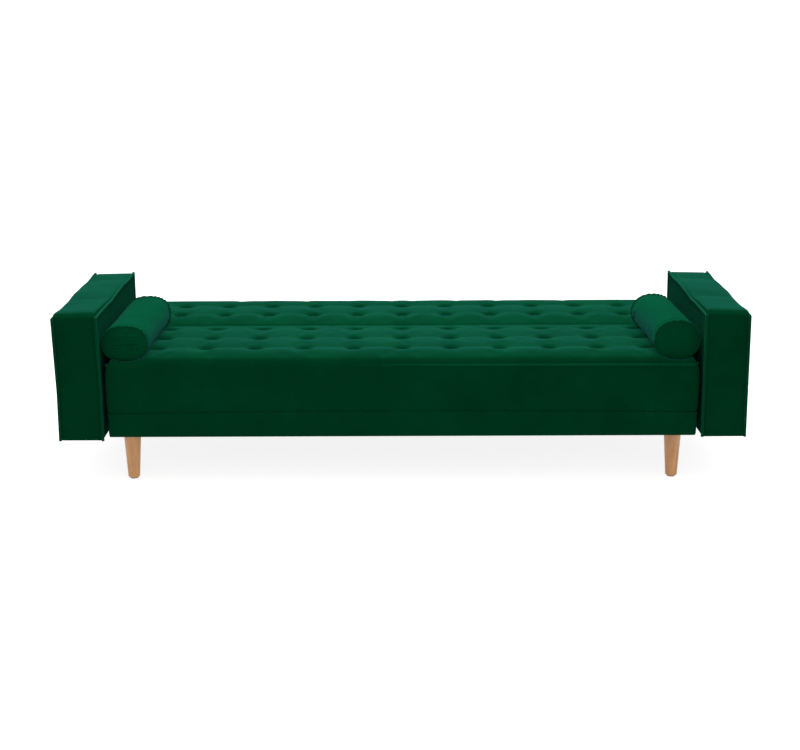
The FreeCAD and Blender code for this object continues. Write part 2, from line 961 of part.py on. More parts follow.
def build_backrest():
    inside_x = ("-rail_x", "rail_x")
    inside_y = ("back_front + cover_wall", "back_rear - cover_wall")
    rail_z = ("back_rail_bottom", "back_rail_top")
    screws = side_screw_bores("back_bracket_screw", back_screw_places())

    lower_y = (inside_y[0], f"{inside_y[0]} + back_rail_width")
    upper_y = (f"{inside_y[1]} - back_rail_width", inside_y[1])
    between = (lower_y[1], upper_y[0])
    hollow = cushion_block(
        "back_cover_hollow",
        inside_x,
        inside_y,
        ("back_bottom - 1", "seat_top - cover_wall"),
        inside_y[0],
        "cover_wall",
    )
    for end, along in (("bottom", lower_y), ("top", upper_y)):
        block = box(f"back_{end}_rail_block", inside_x, along, rail_z)
        node(f"backrest_{end}_rail", common(f"back_{end}_rail_fitted", block, hollow))
    stile = box("back_stile", ("rail_x - back_rail_width", "rail_x"), between, rail_z)
    node("backrest_stiles", cut("backrest_stiles_cut", both_ends("back_stile_pair", stile), screws))
    slat = box(
        "back_slat",
        ("2.5 * tuft_pitch - back_rail_width / 2", "2.5 * tuft_pitch + back_rail_width / 2"),
        between,
        rail_z,
    )
    node("backrest_slats", both_ends("back_slat_pair", slat))

    strap = new_body("webbing_strap")
    plan = sketch_in(strap, "webbing_plan", "XY_Plane", "back_rail_top")
    half = "webbing_width / 2"
    outline(
        plan,
        [
            (f"-{half}", inside_y[0]),
            (half, inside_y[0]),
            (half, inside_y[1]),
            (f"-{half}", inside_y[1]),
        ],
    )
    band = pad(strap, plan, "webbing_wall")
    doc.recompute()
    pattern(strap, [band], "spring_span", SPRINGS)
    place(strap, "-spring_span / 2")
    node("backrest_webbing", strap)

    bores = tufts(
        "backrest",
        "back_front + tuft_margin_along",
        "back_length - 2 * tuft_margin_along",
        BACK_TUFT_ROWS,
        "seat_top",
        "back_foam_bottom",
    )
    foam = cushion_block(
        "back_foam_form",
        inside_x,
        inside_y,
        ("back_foam_bottom", "seat_top - cover_wall"),
        inside_y[0],
        "cover_wall",
    )
    node("backrest_foam", cut("back_foam_cut", foam, bores))

    outer = cushion_block(
        "back_cover_form",
        ("-half_width", "half_width"),
        ("back_front", "back_rear"),
        ("back_bottom", "seat_top"),
        "back_front",
    )
    shell = cut("back_cover_shell", outer, hollow)
    node("backrest_cover", cut("back_cover_cut", shell, group("back_cover_bores", [bores, screws])))
    panel = box("back_panel", inside_x, inside_y, ("back_bottom", "back_rail_bottom"))
    node("backrest_rear_panel", common("back_panel_fitted", panel, hollow))


# --- Welts --------------------------------------------------------------------------------------


def build_welts():
    """Round welts sewn into the cover seams."""
    radius = value("welt / 2")
    level = value("welt_z")
    front, rear = value("seat_front") - radius, value("back_rear") + radius
    end, corner = value("half_width") + radius, value("welt_corner")
    back_in = 2 * corner

    def around(y, inward):
        return [(-end, inward, level), (-end, y, level), (end, y, level), (end, inward, level)]

    round_centre = (value("seat_rear - hinge_edge_radius"), value("seat_top - hinge_edge_radius"))
    reach = value("hinge_edge_radius") + radius
    lean = math.radians(value("seam_welt_angle"))
    seam = (round_centre[0] + reach * math.cos(lean), round_centre[1] + reach * math.sin(lean))
    straight = value("half_width - 2 * edge_radius")
    seat = [
        bent_rod(around(front, front + back_in), corner, radius),
        bent_rod([(-straight, *seam), (straight, *seam)], corner, radius),
    ]
    node("seat_piping", shaped("seat_welts", Part.makeCompound(seat)))
    back = bent_rod(around(rear, rear - back_in), corner, radius)
    node("backrest_piping", shaped("back_welt", back))

    fat = value("arm_welt / 2")
    out = value("arm_welt_proud") - fat
    low = value("base_bottom")
    near, far = value("arm_face_front") - out, value("arm_face_rear") + out
    top = value("arm_face_top") + out
    loops = []
    for sign in SIDES.values():
        for face in (value("arm_face_in") - out, value("arm_face_out") + out):
            x = sign * face
            loop = [(x, near, low), (x, near, top), (x, far, top), (x, far, low)]
            loops.append(bent_rod(loop, value("arm_edge_radius") + out, fat))
    node("arm_piping", shaped("arm_welts", Part.makeCompound(loops)))


# --- Arms ---------------------------------------------------------------------------------------


def soft_box(name, x, y, z, radius):
    """A block whose top and upright edges have one radius."""
    body = new_body(name)
    sketch = sketch_in(body, f"{name}_plan", "XY_Plane", z[0])
    outline(sketch, [(x[0], y[0]), (x[1], y[0]), (x[1], y[1]), (x[0], y[1])])
    block = pad(body, sketch, f"({z[1]}) - ({z[0]})")
    bottom = value(z[0])
    round_edges(body, block, lambda b: b.ZMax - bottom > 1e-6, radius)
    return body


def build_arms(bores):
    def layer(name, depth, floor):
        """The arm's outer form, depth further in."""
        return soft_box(
            name,
            (f"arm_face_in + {depth}", f"arm_face_out - {depth}"),
            (f"arm_face_front + {depth}", f"arm_face_rear - {depth}"),
            (floor, f"arm_face_top - {depth}"),
            f"arm_edge_radius - ({depth}) * 0.5",
        )

    outer = layer("arm_outer_form", "0", "base_bottom")
    under_cover = layer("arm_hollow_form", "cover_wall", "base_bottom - 1")
    shell = cut("arm_cover_shell", outer, under_cover)
    cover = cut("arm_cover_left", shell, bores)
    node("left_arm_cover", cover)
    node("right_arm_cover", mirrored("arm_cover_right", cover))

    wadding = layer("arm_wadding_form", "cover_wall", "rail_bottom")
    core = box(
        "arm_core",
        ("panel_in", "panel_out"),
        ("panel_front", "panel_rear"),
        ("rail_bottom - 1", "panel_top"),
    )
    hollow_wadding = cut("arm_wadding_shell", wadding, core)
    node(
        "arm_padding", both_ends("arm_padding_pair", cut("arm_padding_cut", hollow_wadding, bores))
    )

    depth, height = ("panel_front", "panel_rear"), ("rail_bottom", "panel_top")
    inner = box("arm_inner_panel", ("panel_in", "post_in"), depth, height)
    sockets = [
        rod(
            f"nut_socket_{i}",
            "X",
            "nut_radius",
            ("panel_in - 1", y, "bolt_z"),
            "arm_panel_wall + 2",
        )
        for i, y in enumerate(bolt_places())
    ]
    inner = cut("arm_inner_panel_cut", inner, group("nut_sockets", sockets))
    panel = box("arm_outer_panel", ("post_out", "panel_out"), depth, height)
    node("arm_panels", both_ends("arm_panel_pairs", group("arm_panel_pair", [inner, panel])))

    across = ("post_in", "post_out")
    upright = ("rail_bottom + arm_post", "panel_top - arm_post")
    middle = "(panel_front + panel_rear) / 2"
    posts = [
        box("arm_top_post", across, depth, (upright[1], "panel_top")),
        box("arm_bottom_post", across, depth, ("rail_bottom", upright[0])),
        box("arm_front_post", across, ("panel_front", "panel_front + arm_post"), upright),
        box(
            "arm_middle_post",
            across,
            (f"{middle} - arm_post / 2", f"{middle} + arm_post / 2"),
            (f"{upright[0]} + 60", upright[1]),
        ),
        box("arm_rear_post", across, ("panel_rear - arm_post", "panel_rear"), upright),
    ]
    node("arm_posts", both_ends("arm_post_pair", group("arm_post_set", posts)))

    cloth_x = ("arm_face_in + cover_wall", "arm_face_out - cover_wall")
    cloth_y = ("arm_face_front + cover_wall", "arm_face_rear - cover_wall")
    square = box("arm_cloth_square", cloth_x, cloth_y, ("base_bottom", "rail_bottom"))
    trim = layer("arm_cloth_trim", "cover_wall", "base_bottom - 1")
    node("arm_dust_covers", both_ends("arm_cloth_pair", common("arm_cloth", square, trim)))


def build_arm_bolts():
    bolts, washers, standoffs, nuts = [], [], [], []
    for i, y in enumerate(bolt_places()):
        end = "post_in + bolt_reach"
        face = "rail_inner_x - washer_wall"
        head = rod(
            f"arm_bolt_head_{i}",
            "X",
            "bolt_head_radius",
            (f"{face} - bolt_head_height", y, "bolt_z"),
            "bolt_head_height",
        )
        shank = rod(
            f"arm_bolt_shank_{i}", "X", "bolt_radius", (face, y, "bolt_z"), f"{end} - ({face})"
        )
        socket = rod(
            f"arm_bolt_socket_{i}",
            "X",
            "bolt_socket / 2",
            (f"{face} - bolt_head_height", y, "bolt_z"),
            "bolt_socket_depth",
        )
        bolts.append(cut(f"arm_bolt_{i}", fuse(f"arm_bolt_blank_{i}", [head, shank]), socket))

        disc = rod(f"washer_disc_{i}", "X", "washer_radius", (face, y, "bolt_z"), "washer_wall")
        hole = rod(
            f"washer_hole_{i}", "X", "bolt_radius + thread_play", (face, y, "bolt_z"), "washer_wall"
        )
        washers.append(cut(f"washer_{i}", disc, hole))

        bush = rod(
            f"standoff_blank_{i}",
            "X",
            "standoff_radius",
            ("half_width", y, "bolt_z"),
            "arm_face_in - half_width",
        )
        bore = rod(
            f"standoff_hole_{i}",
            "X",
            "bolt_radius + thread_play",
            ("half_width", y, "bolt_z"),
            "arm_face_in - half_width",
        )
        standoffs.append(cut(f"standoff_{i}", bush, bore))

        barrel = rod(
            f"nut_barrel_{i}", "X", "nut_radius", ("panel_in", y, "bolt_z"), "arm_panel_wall"
        )
        flange = rod(
            f"nut_flange_{i}", "X", "nut_flange_radius", ("post_in", y, "bolt_z"), "nut_flange_wall"
        )
        thread = rod(
            f"nut_thread_{i}",
            "X",
            "bolt_radius + thread_play",
            ("panel_in", y, "bolt_z"),
            "arm_panel_wall + nut_flange_wall",
        )
        nuts.append(cut(f"tee_nut_{i}", fuse(f"tee_nut_blank_{i}", [barrel, flange]), thread))
    for label, made in (
        ("arm_bolts", bolts),
        ("arm_bolt_washers", washers),
        ("arm_standoffs", standoffs),
        ("arm_tee_nuts", nuts),
    ):
        node(label, both_ends(f"{label}_pair", group(f"{label}_left", made)))


# --- Folding hinges -----------------------------------------------------------------------------


def seat_bracket():
    """The fixed leaf: a foot on the seat's side, and a neck up to the pivot."""
    body = new_body("seat_bracket_left")
    side = sketch_in(body, "seat_bracket_side", "YZ_Plane", "hinge_in")
    low, high = "seat_foot_z - bracket_foot_height / 2", "seat_foot_z + bracket_foot_height / 2"
    outline(
        side,
        [
            ("hinge_y - bracket_foot_length - 5", low),
            ("hinge_y - bracket_inset", low),
            ("hinge_y - bracket_inset", "hinge_z"),
            ("hinge_y - bracket_inset - bracket_neck", "hinge_z - bracket_inset"),
            ("hinge_y - bracket_inset - bracket_neck", high),
            ("hinge_y - bracket_foot_length - 5", high),
        ],
    )
    pad(body, side, "hinge_wall")
    lobe = sketch_in(body, "seat_bracket_lobe", "YZ_Plane", "hinge_in")
    circle(lobe, "hinge_y", "hinge_z", "lobe_radius - 4")
    pad(body, lobe, "hinge_wall")
    doc.recompute()
    holes = sketch_in(body, "seat_bracket_holes", "YZ_Plane", "hinge_in")
    circle(holes, "hinge_y", "hinge_z", "rivet_radius + thread_play")
    circle(holes, "pawl_y", "pawl_z", "pawl_pin_radius + thread_play")
    for y, z in seat_screw_places():
        circle(holes, y, z, "screw_radius")
    pocket(body, holes, "hinge_wall")
    return body


def back_bracket():
    """The moving leaf: a notched lobe on the pivot, and an arm to a foot on the backrest's side."""
    body = new_body("back_bracket_left")
    side = sketch_in(body, "back_bracket_side", "YZ_Plane", "leaf_in")
    low, high = "back_foot_z - bracket_foot_height / 2 + 2", "back_foot_z + bracket_foot_height / 2 - 2"
    far = "back_foot_y + bracket_foot_length"
    outline(
        side,
        [
            ("hinge_y - 6", "hinge_z - 20"),
            ("back_foot_y", low),
            (far, low),
            (far, high),
            ("back_foot_y + 40", high),
            ("hinge_y + 20", "hinge_z - 8"),
        ],
    )
    pad(body, side, "hinge_wall")
    lobe = sketch_in(body, "back_bracket_lobe", "YZ_Plane", "leaf_in")
    circle(lobe, "hinge_y", "hinge_z", "lobe_radius")
    pad(body, lobe, "hinge_wall")
    packer = sketch_in(body, "back_bracket_packer", "YZ_Plane", "hinge_in")
    outline(packer, [("back_foot_y", low), (far, low), (far, high), ("back_foot_y", high)])
    pad(body, packer, "leaf_in - hinge_in")
    doc.recompute()
    bore = sketch_in(body, "back_bracket_bore", "YZ_Plane", "leaf_in")
    circle(bore, "hinge_y", "hinge_z", "rivet_radius + running_play")
    pocket(body, bore, "hinge_wall")
    holes = sketch_in(body, "back_bracket_holes", "YZ_Plane", "hinge_in")
    for y, z in back_screw_places():
        circle(holes, y, z, "screw_radius")
    pocket(body, holes, "leaf_out - hinge_in")
    doc.recompute()
    turns = [f"180 - {i} * notch_step" for i in range(NOTCHES)]
    turns.append(f"180 - {NOTCHES - 1} * notch_step - over_travel")
    for i, turn in enumerate(turns):
        notch = sketch_in(body, f"notch_{i}", "YZ_Plane", "leaf_in")
        circle(
            notch,
            f"hinge_y + lobe_radius * cos(({turn}) * 1deg)",
            f"hinge_z + lobe_radius * sin(({turn}) * 1deg)",
            "notch_radius",
        )
        pocket(body, notch, "hinge_wall")
        doc.recompute()
    return body


def pawl():
    """A lever that drops its nose into the lobe's notches. It is drawn lifted clear of them."""
    body = new_body("pawl_left")
    side = sketch_in(body, "pawl_side", "YZ_Plane", "leaf_in")
    outline(
        side,
        [
            ("pawl_y - pawl_width", "pawl_z"),
            ("pawl_y + pawl_pin_radius", "pawl_z"),
            ("pawl_y", "pawl_z + pawl_length * 0.6"),
            ("pawl_y", "pawl_z + pawl_length"),
            ("pawl_y - pawl_width * 0.6", "pawl_z + pawl_length"),
        ],
    )
    pad(body, side, "hinge_wall")
    for name, z, radius in (
        ("boss", "pawl_z", "pawl_boss_radius"),
        ("nose", "hinge_z", "nose_radius"),
    ):
        round_end = sketch_in(body, f"pawl_{name}", "YZ_Plane", "leaf_in")
        circle(round_end, "pawl_y", z, radius)
        pad(body, round_end, "hinge_wall")
    doc.recompute()
    bore = sketch_in(body, "pawl_bore", "YZ_Plane", "leaf_in")
    circle(bore, "pawl_y", "pawl_z", "pawl_pin_radius + running_play")
    pocket(body, bore, "hinge_wall")
    return body


def pawl_spring():
    """A torsion spring on the pawl pin, with one straight leg each way."""
    wire, mean = value("pawl_spring_wire"), value("pawl_pin_radius + pawl_spring_wire")
    turns, leg = value("pawl_spring_turns"), value("pawl_spring_leg")
    start = value("leaf_out") + wire
    step = wire * 1.3
    centre = FreeCAD.Vector(start, value("pawl_y"), value("pawl_z"))
    coil = Part.makeHelix(step, step * turns, mean)
    coil.rotate(FreeCAD.Vector(), FreeCAD.Vector(0, 1, 0), 90)
    coil.translate(centre)
    edge = coil.Edges[0]
    first, last = edge.valueAt(edge.FirstParameter), edge.valueAt(edge.LastParameter)
    way_in = edge.tangentAt(edge.FirstParameter)
    way_out = edge.tangentAt(edge.LastParameter)
    path = Part.Wire(
        [
            Part.LineSegment(first - way_in * leg, first).toShape(),
            edge,
            Part.LineSegment(last, last + way_out * leg).toShape(),
        ]
    )
    section = Part.Wire(Part.makeCircle(wire / 2, first - way_in * leg, way_in))
    pipe = Part.BRepOffsetAPI.MakePipeShell(path)
    pipe.setFrenetMode(True)
    pipe.add(section)
    pipe.build()
    pipe.makeSolid()
    return shaped("pawl_spring_left", pipe.shape())


def build_hinges():
    node("seat_brackets", both_ends("seat_bracket_pair", seat_bracket()))
    node("back_brackets", both_ends("back_bracket_pair", back_bracket()))
    left = node("left_pawl", pawl())
    node("right_pawl", mirrored("pawl_right", left))

    rivet = fuse(
        "hinge_rivet",
        [
            rod(
                "rivet_shank",
                "X",
                "rivet_radius",
                ("hinge_in", "hinge_y", "hinge_z"),
                "leaf_out + hinge_play - hinge_in",
            ),
            rod(
                "rivet_head",
                "X",
                "rivet_head_radius",
                ("leaf_out + hinge_play", "hinge_y", "hinge_z"),
                "rivet_head_height",
            ),
        ],
    )
    pin = fuse(
        "pawl_pin",
        [
            rod(
                "pawl_pin_shank",
                "X",
                "pawl_pin_radius",
                ("hinge_in", "pawl_y", "pawl_z"),
                "pawl_pin_length",
            ),
            rod(
                "pawl_pin_head",
                "X",
                "pawl_pin_head_radius",
                ("hinge_in + pawl_pin_length - pawl_pin_head_height", "pawl_y", "pawl_z"),
                "pawl_pin_head_height",
            ),
        ],
    )
    node("hinge_rivets", both_ends("hinge_rivet_pairs", group("hinge_rivet_pair", [rivet, pin])))
    node("pawl_springs", both_ends("pawl_spring_pair", pawl_spring()))


def build_wood_screws(leg_screws):
    seat = [
        wood_screw(f"seat_bracket_screw_{i}", "hinge_mid", y, z, "X")
        for i, (y, z) in enumerate(seat_screw_places())
    ]
    back = [
        wood_screw(f"back_bracket_screw_{i}", "leaf_out", y, z, "X")
        for i, (y, z) in enumerate(back_screw_places())
    ]
    seat_pairs = both_ends("seat_bracket_screw_pairs", group("seat_bracket_screw_set", seat))
    node("wood_screws", group("wood_screw_group", leg_screws + [seat_pairs]))
    node(
        "back_bracket_screws",
        both_ends("back_bracket_screw_pairs", group("back_bracket_screw_set", back)),
    )


# --- Bolsters -----------------------------------------------------------------------------------


def build_bolsters():
    body = new_body("bolster_left")
    end = sketch_in(body, "bolster_end", "XZ_Plane", "-bolster_front - bolster_length")
    centre = FreeCAD.Vector(value("bolster_x"), value("bolster_bottom + bolster_height / 2"), 0)
    flat = Part.Ellipse(centre, value("bolster_width / 2"), value("bolster_height / 2"))
    index = end.addGeometry(flat)
    end.exposeInternalGeometry(index)
    pin_point(end, index, 3, "bolster_x", "bolster_bottom + bolster_height / 2")
    for geometry, size in ((index + 1, "bolster_width"), (index + 2, "bolster_height")):
        number = end.addConstraint(Sketcher.Constraint("Distance", geometry, value(size)))
        end.setExpression(f"Constraints[{number}]", expand(size))
    end.addConstraint(Sketcher.Constraint("Horizontal", index + 1))
    roll = pad(body, end, "bolster_length")
    round_edges(body, roll, lambda b: b.YLength < 1e-3, "bolster_round")
    node("left_bolster", body)
    node("right_bolster", mirrored("bolster_right", body))


# --- The whole sofa bed ---------------------------------------------------------------------------


def check_objects():
    """Stops the build if any feature failed, or a sub-part isn't made of valid closed solids."""
    faults = [f"{o.Name}: {o.State}" for o in doc.Objects if {"Invalid", "Error"} & set(o.State)]
    for label, obj in nodes.items():
        shape = obj.Shape
        if shape.isNull() or not shape.Solids or not shape.isValid():
            faults.append(f"{label}: null, empty or not valid")
        elif not all(s.isClosed() and s.Volume > 0 for s in shape.Solids):
            faults.append(f"{label}: an open or inside-out solid")
    if faults:
        raise SystemExit("\n".join(faults))


def export():
    os.makedirs("parts", exist_ok=True)
    for label, obj in nodes.items():
        shape = obj.Shape.copy()
        if shape.ShapeType == "Compound" and len(shape.Solids) == 1:
            shape = shape.Solids[0]
        shape.exportStep(os.path.join("parts", f"{label}.step"))


arm_bores, plate_bores = build_base()
build_frame_screws()
all_leg_screws = build_legs(plate_bores)
build_seat()
build_springs()
build_backrest()
build_welts()
build_arms(arm_bores)
build_arm_bolts()
build_hinges()
build_wood_screws(all_leg_screws)
build_bolsters()
doc.recompute()
check_objects()
export()
for label in sorted(nodes):
    shape = nodes[label].Shape
    b = shape.BoundBox
    print(
        f"{label:22s} {len(shape.Solids):3d} solids  x {b.XMin:8.1f}..{b.XMax:8.1f}"
        f"  y {b.YMin:7.1f}..{b.YMax:7.1f}  z {b.ZMin:6.1f}..{b.ZMax:6.1f}"
    )
print(len(nodes), "nodes")
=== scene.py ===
"""The sofa bed's looks: velvet cushions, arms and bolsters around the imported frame, in metres."""

import bpy
import json
import math
import numpy as np
import random
from mathutils import Matrix, Vector, noise


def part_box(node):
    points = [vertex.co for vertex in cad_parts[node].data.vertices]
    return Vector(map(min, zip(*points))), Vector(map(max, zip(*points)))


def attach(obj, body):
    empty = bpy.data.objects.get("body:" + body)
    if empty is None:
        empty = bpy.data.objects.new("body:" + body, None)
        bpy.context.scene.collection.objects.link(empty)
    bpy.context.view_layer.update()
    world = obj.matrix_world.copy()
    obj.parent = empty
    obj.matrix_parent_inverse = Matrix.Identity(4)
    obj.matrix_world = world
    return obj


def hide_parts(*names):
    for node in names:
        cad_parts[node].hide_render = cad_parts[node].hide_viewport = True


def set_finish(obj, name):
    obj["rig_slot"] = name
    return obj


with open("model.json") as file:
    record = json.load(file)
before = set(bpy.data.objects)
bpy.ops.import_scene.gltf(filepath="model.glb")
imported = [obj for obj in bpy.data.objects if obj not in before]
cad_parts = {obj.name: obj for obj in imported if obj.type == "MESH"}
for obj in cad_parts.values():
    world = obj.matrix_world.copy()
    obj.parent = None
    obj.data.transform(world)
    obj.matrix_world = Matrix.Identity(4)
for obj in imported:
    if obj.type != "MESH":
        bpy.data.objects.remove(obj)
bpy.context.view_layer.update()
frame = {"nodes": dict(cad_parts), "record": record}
nodes = frame["nodes"]
SIDES = {"right": -1, "left": 1}

# --- Places read from the frame --------------------------------------------------------------

seat_low, seat_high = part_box("seat_cover")
back_low, back_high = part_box("backrest_cover")
panel_low, panel_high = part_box("backrest_rear_panel")
base_low, base_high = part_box("base_cover")
arm_low, arm_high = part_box("left_arm_cover")
_, welts_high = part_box("arm_piping")
button_low, button_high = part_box("seat_buttons")
back_button_low, back_button_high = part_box("backrest_buttons")
bolster_low, bolster_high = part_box("left_bolster")

# --- Sizes of the soft shapes, in metres ---------------------------------------------------------

# How tall in front and behind, how square, how wrinkled, and how far outwards at each end.
BOLSTERS = {
    "right": {"tall": (0.108, 0.116), "power": 2.5, "wrinkle": 0.0026, "turn": (0.007, 0.0)},
    "left": {"tall": (0.120, 0.118), "power": 2.15, "wrinkle": 0.0, "turn": (0.0, -0.007)},
}
TUFT_COLUMNS = 11
BUTTON_RADIUS = 0.011
BUTTON_SINK = 0.003  # how far the buttons are pulled below the cushions' stuffing line
TUCK = 0.007  # how far the seat cover reaches down inside the base's band
SINK = 0.010  # how far a bolster sinks into the seat
HINGE_ROUND = 0.040  # how soft the edges are where the two cushions meet
HINGE_SEAM = math.radians(60)  # where on that round the top panel's seam runs
WELT = 0.003  # radius of the seam welts
FRONT_WELT = 0.0038
ARM_WELT = 0.0045
WELT_Z = seat_high.z - 0.024  # height of the long edges' welts
CORNER = 0.011  # how round a cushion's upright corners are
BAND_CORNER = 0.004
BAND_BOW = 0.006  # how far the band's top edge rises towards its middle
CREST = seat_high.z + 0.013  # top of the crown between two buttons
ROW_VALLEY = 0.0025  # how deep the panel dips along a row of buttons
SIDE_FULL = 0.006  # how far the seat's and backrest's sides swell
GRID = 0.0085  # step of the cushions' and arms' meshes
UNDER_BOLSTER = 0.060  # half height of the hollow that a bolster presses into the seat
rng = random.Random(7)


# --- Meshes ------------------------------------------------------------------------------------


def new_mesh(name, places, faces):
    mesh = bpy.data.meshes.new(name)
    mesh.from_pydata([tuple(p) for p in places], [], faces)
    mesh.update()
    mesh.shade_smooth()
    piece = bpy.data.objects.new(name, mesh)
    bpy.context.scene.collection.objects.link(piece)
    return piece


def get_places(piece):
    flat = np.empty(len(piece.data.vertices) * 3, np.float32)
    piece.data.vertices.foreach_get("co", flat)
    return flat.reshape(-1, 3).astype(float)


def set_places(piece, places):
    piece.data.vertices.foreach_set("co", np.asarray(places, np.float32).ravel())
    piece.data.update()


def box_grid(counts):
    """A closed box of quads: each vertex's (i, j, k) step, and the faces."""
    index, keys, faces = {}, [], []

    def corner(key):
        if key not in index:
            index[key] = len(keys)
            keys.append(key)
        return index[key]

    for axis in range(3):
        a, b = (axis + 1) % 3, (axis + 2) % 3
        for end in (0, counts[axis]):
            for i in range(counts[a]):
                for j in range(counts[b]):
                    ring = [(i, j), (i + 1, j), (i + 1, j + 1), (i, j + 1)]
                    if end == 0:
                        ring.reverse()
                    quad = []
                    for p, q in ring:
                        key = [0, 0, 0]
                        key[axis], key[a], key[b] = end, p, q
                        quad.append(corner(tuple(key)))
                    faces.append(quad)
    return np.array(keys), faces


def round_corner(places, axes, centre, towards, radius):
    """Turns a square corner in the plane of two axes into a round one."""
    a, b = axes
    da = (places[:, a] - centre[0]) * towards[0]
    db = (places[:, b] - centre[1]) * towards[1]
    inside = (da > 0) & (db > 0) & (np.maximum(da, db) <= radius * 1.001)
    scale = np.where(inside, np.maximum(da, db) / np.maximum(np.hypot(da, db), 1e-9), 1.0)
    places[:, a] = centre[0] + da * scale * towards[0]
    places[:, b] = centre[1] + db * scale * towards[1]


def tube(name, path, radius, sides=10, closed=False):
    """A round welt along a path, with the small gathers of a sewn cord cover."""
    path = [Vector(p) for p in path]
    count = len(path)
    rings, up = [], Vector((0, 0, 1))
    length = 0.0
    for i, point in enumerate(path):
        before = path[i - 1] if i or closed else path[0]
        after = path[(i + 1) % count] if i + 1 < count or closed else path[-1]
        way = (after - before).normalized()
        length += (point - path[i - 1]).length if i else 0
        side = up.cross(way)
        if side.length < 0.1:
            side = Vector((1, 0, 0)).cross(way)
        side.normalize()
        up_here = way.cross(side).normalized()
        up = up_here
        for s in range(sides):
            turn = 2 * math.pi * s / sides
            gather = 1 + 0.05 * noise.noise(Vector((length * 160, turn, radius * 900)))
            offset = (side * math.cos(turn) + up_here * math.sin(turn)) * radius * gather
            rings.append(point + offset)
    faces = []
    last = count if closed else count - 1
    for i in range(last):
        for s in range(sides):
            a, b = i * sides + s, i * sides + (s + 1) % sides
            c = ((i + 1) % count) * sides + (s + 1) % sides
            d = ((i + 1) % count) * sides + s
            faces.append((a, b, c, d))
    if not closed:
        faces.append(tuple(reversed(range(sides))))
        faces.append(tuple(range((count - 1) * sides, count * sides)))
    return new_mesh(name, rings, faces)


def rounded_path(corners, bend, step=0.006):
    """Points along straight runs joined by arcs."""
    corners = [Vector(c) for c in corners]
    path = [corners[0]]

    def run_to(end):
        start = path[-1]
        steps = max(1, int((end - start).length / step))
        for i in range(1, steps + 1):
            path.append(start.lerp(end, i / steps))

    for before, corner, after in zip(corners, corners[1:], corners[2:]):
        inward = (before - corner).normalized()
        outward = (after - corner).normalized()
        half = inward.angle(outward) / 2
        reach = bend / math.tan(half)
        middle = corner + (inward + outward).normalized() * (bend / math.sin(half))
        run_to(corner + inward * reach)
        sweep = math.pi - 2 * half
        spoke = path[-1] - middle
        across = (outward - spoke.normalized() * outward.dot(spoke.normalized())).normalized()
        for i in range(1, 9):
            turn = sweep * i / 8
            path.append(middle + spoke * math.cos(turn) + across * bend * math.sin(turn))
    run_to(corners[-1])
    return path


def join(name, pieces):
    bpy.ops.object.select_all(action="DESELECT")
    for piece in pieces:
        piece.select_set(True)
    bpy.context.view_layer.objects.active = pieces[0]
    bpy.ops.object.join()
    pieces[0].name = name
    return pieces[0]


def subdivide(piece, levels=1):
    smooth = piece.modifiers.new("smooth", "SUBSURF")
    smooth.levels = levels
    smooth.render_levels = levels
    bpy.context.view_layer.objects.active = piece
    bpy.ops.object.modifier_apply(modifier=smooth.name)
    piece.data.shade_smooth()


# --- Cloth simulation ----------------------------------------------------------------------------

FRAMES = 18
soft = []  # (piece, furthest move) for each piece that the cloth solver settles


def settle_later(piece, pins, pressure, grow, furthest, bending=0.4):
    """Marks a piece for the one shared cloth run. pins holds a weight for each vertex."""
    group = piece.vertex_groups.new(name="pins")
    for weight in (1.0, 0.6, 0.3):
        near = np.nonzero(np.abs(pins - weight) < 0.14)[0]
        if len(near):
            group.add([int(i) for i in near], weight, "REPLACE")
    cloth = piece.modifiers.new("cloth", "CLOTH")
    s = cloth.settings
    s.quality = 5
    s.mass = 0.25
    s.tension_stiffness = s.compression_stiffness = 18
    s.shear_stiffness = 6
    s.bending_stiffness = bending
    s.tension_damping = s.compression_damping = 8
    s.air_damping = 2
    s.use_pressure = True
    s.uniform_pressure_force = pressure
    s.shrink_min = -grow
    s.shrink_max = -grow
    s.vertex_group_mass = group.name
    s.pin_stiffness = 2
    s.effector_weights.gravity = 0
    cloth.collision_settings.use_collision = False
    cloth.point_cache.frame_start = 1
    cloth.point_cache.frame_end = FRAMES + 6
    soft.append((piece, furthest))


def settle():
    """Runs the cloth solver once for every marked piece, and keeps the result in its mesh."""
    scene = bpy.context.scene
    frames = FRAMES
    for number in range(1, frames + 1):
        scene.frame_set(number)
    graph = bpy.context.evaluated_depsgraph_get()
    moved = {}
    for piece, furthest in soft:
        shown = piece.evaluated_get(graph)
        flat = np.empty(len(shown.data.vertices) * 3, np.float32)
        shown.data.vertices.foreach_get("co", flat)
        start = get_places(piece)
        step = flat.reshape(-1, 3) - start
        size = np.linalg.norm(step, axis=1, keepdims=True)
        moved[piece] = start + step * np.minimum(1, furthest / np.maximum(size, 1e-9))
    for piece, furthest in soft:
        piece.modifiers.remove(piece.modifiers["cloth"])
        set_places(piece, moved[piece])
    scene.frame_set(1)


# --- Cushions ------------------------------------------------------------------------------------


def tuft_places(low, high, rows):
    """Centres of the buttons, from the corners of the box round them all."""
    xs = np.linspace(low.x + BUTTON_RADIUS, high.x - BUTTON_RADIUS, TUFT_COLUMNS)
    ys = np.linspace(low.y + BUTTON_RADIUS, high.y - BUTTON_RADIUS, rows)
    return [(x, y) for y in ys for x in xs]


def to_nearest(spots, x, y):
    """Distance from each place to its nearest spot."""
    reach = np.full(len(x), 9.0)
    for spot_x, spot_y in spots:
        reach = np.minimum(reach, np.hypot(x - spot_x, y - spot_y))
    return reach


def quarter(share):
    """A quarter-round rise from 0 to 1."""
    share = np.clip(share, 0, 1)
    return np.sqrt(np.clip(1 - (1 - share) ** 2, 0, 1))


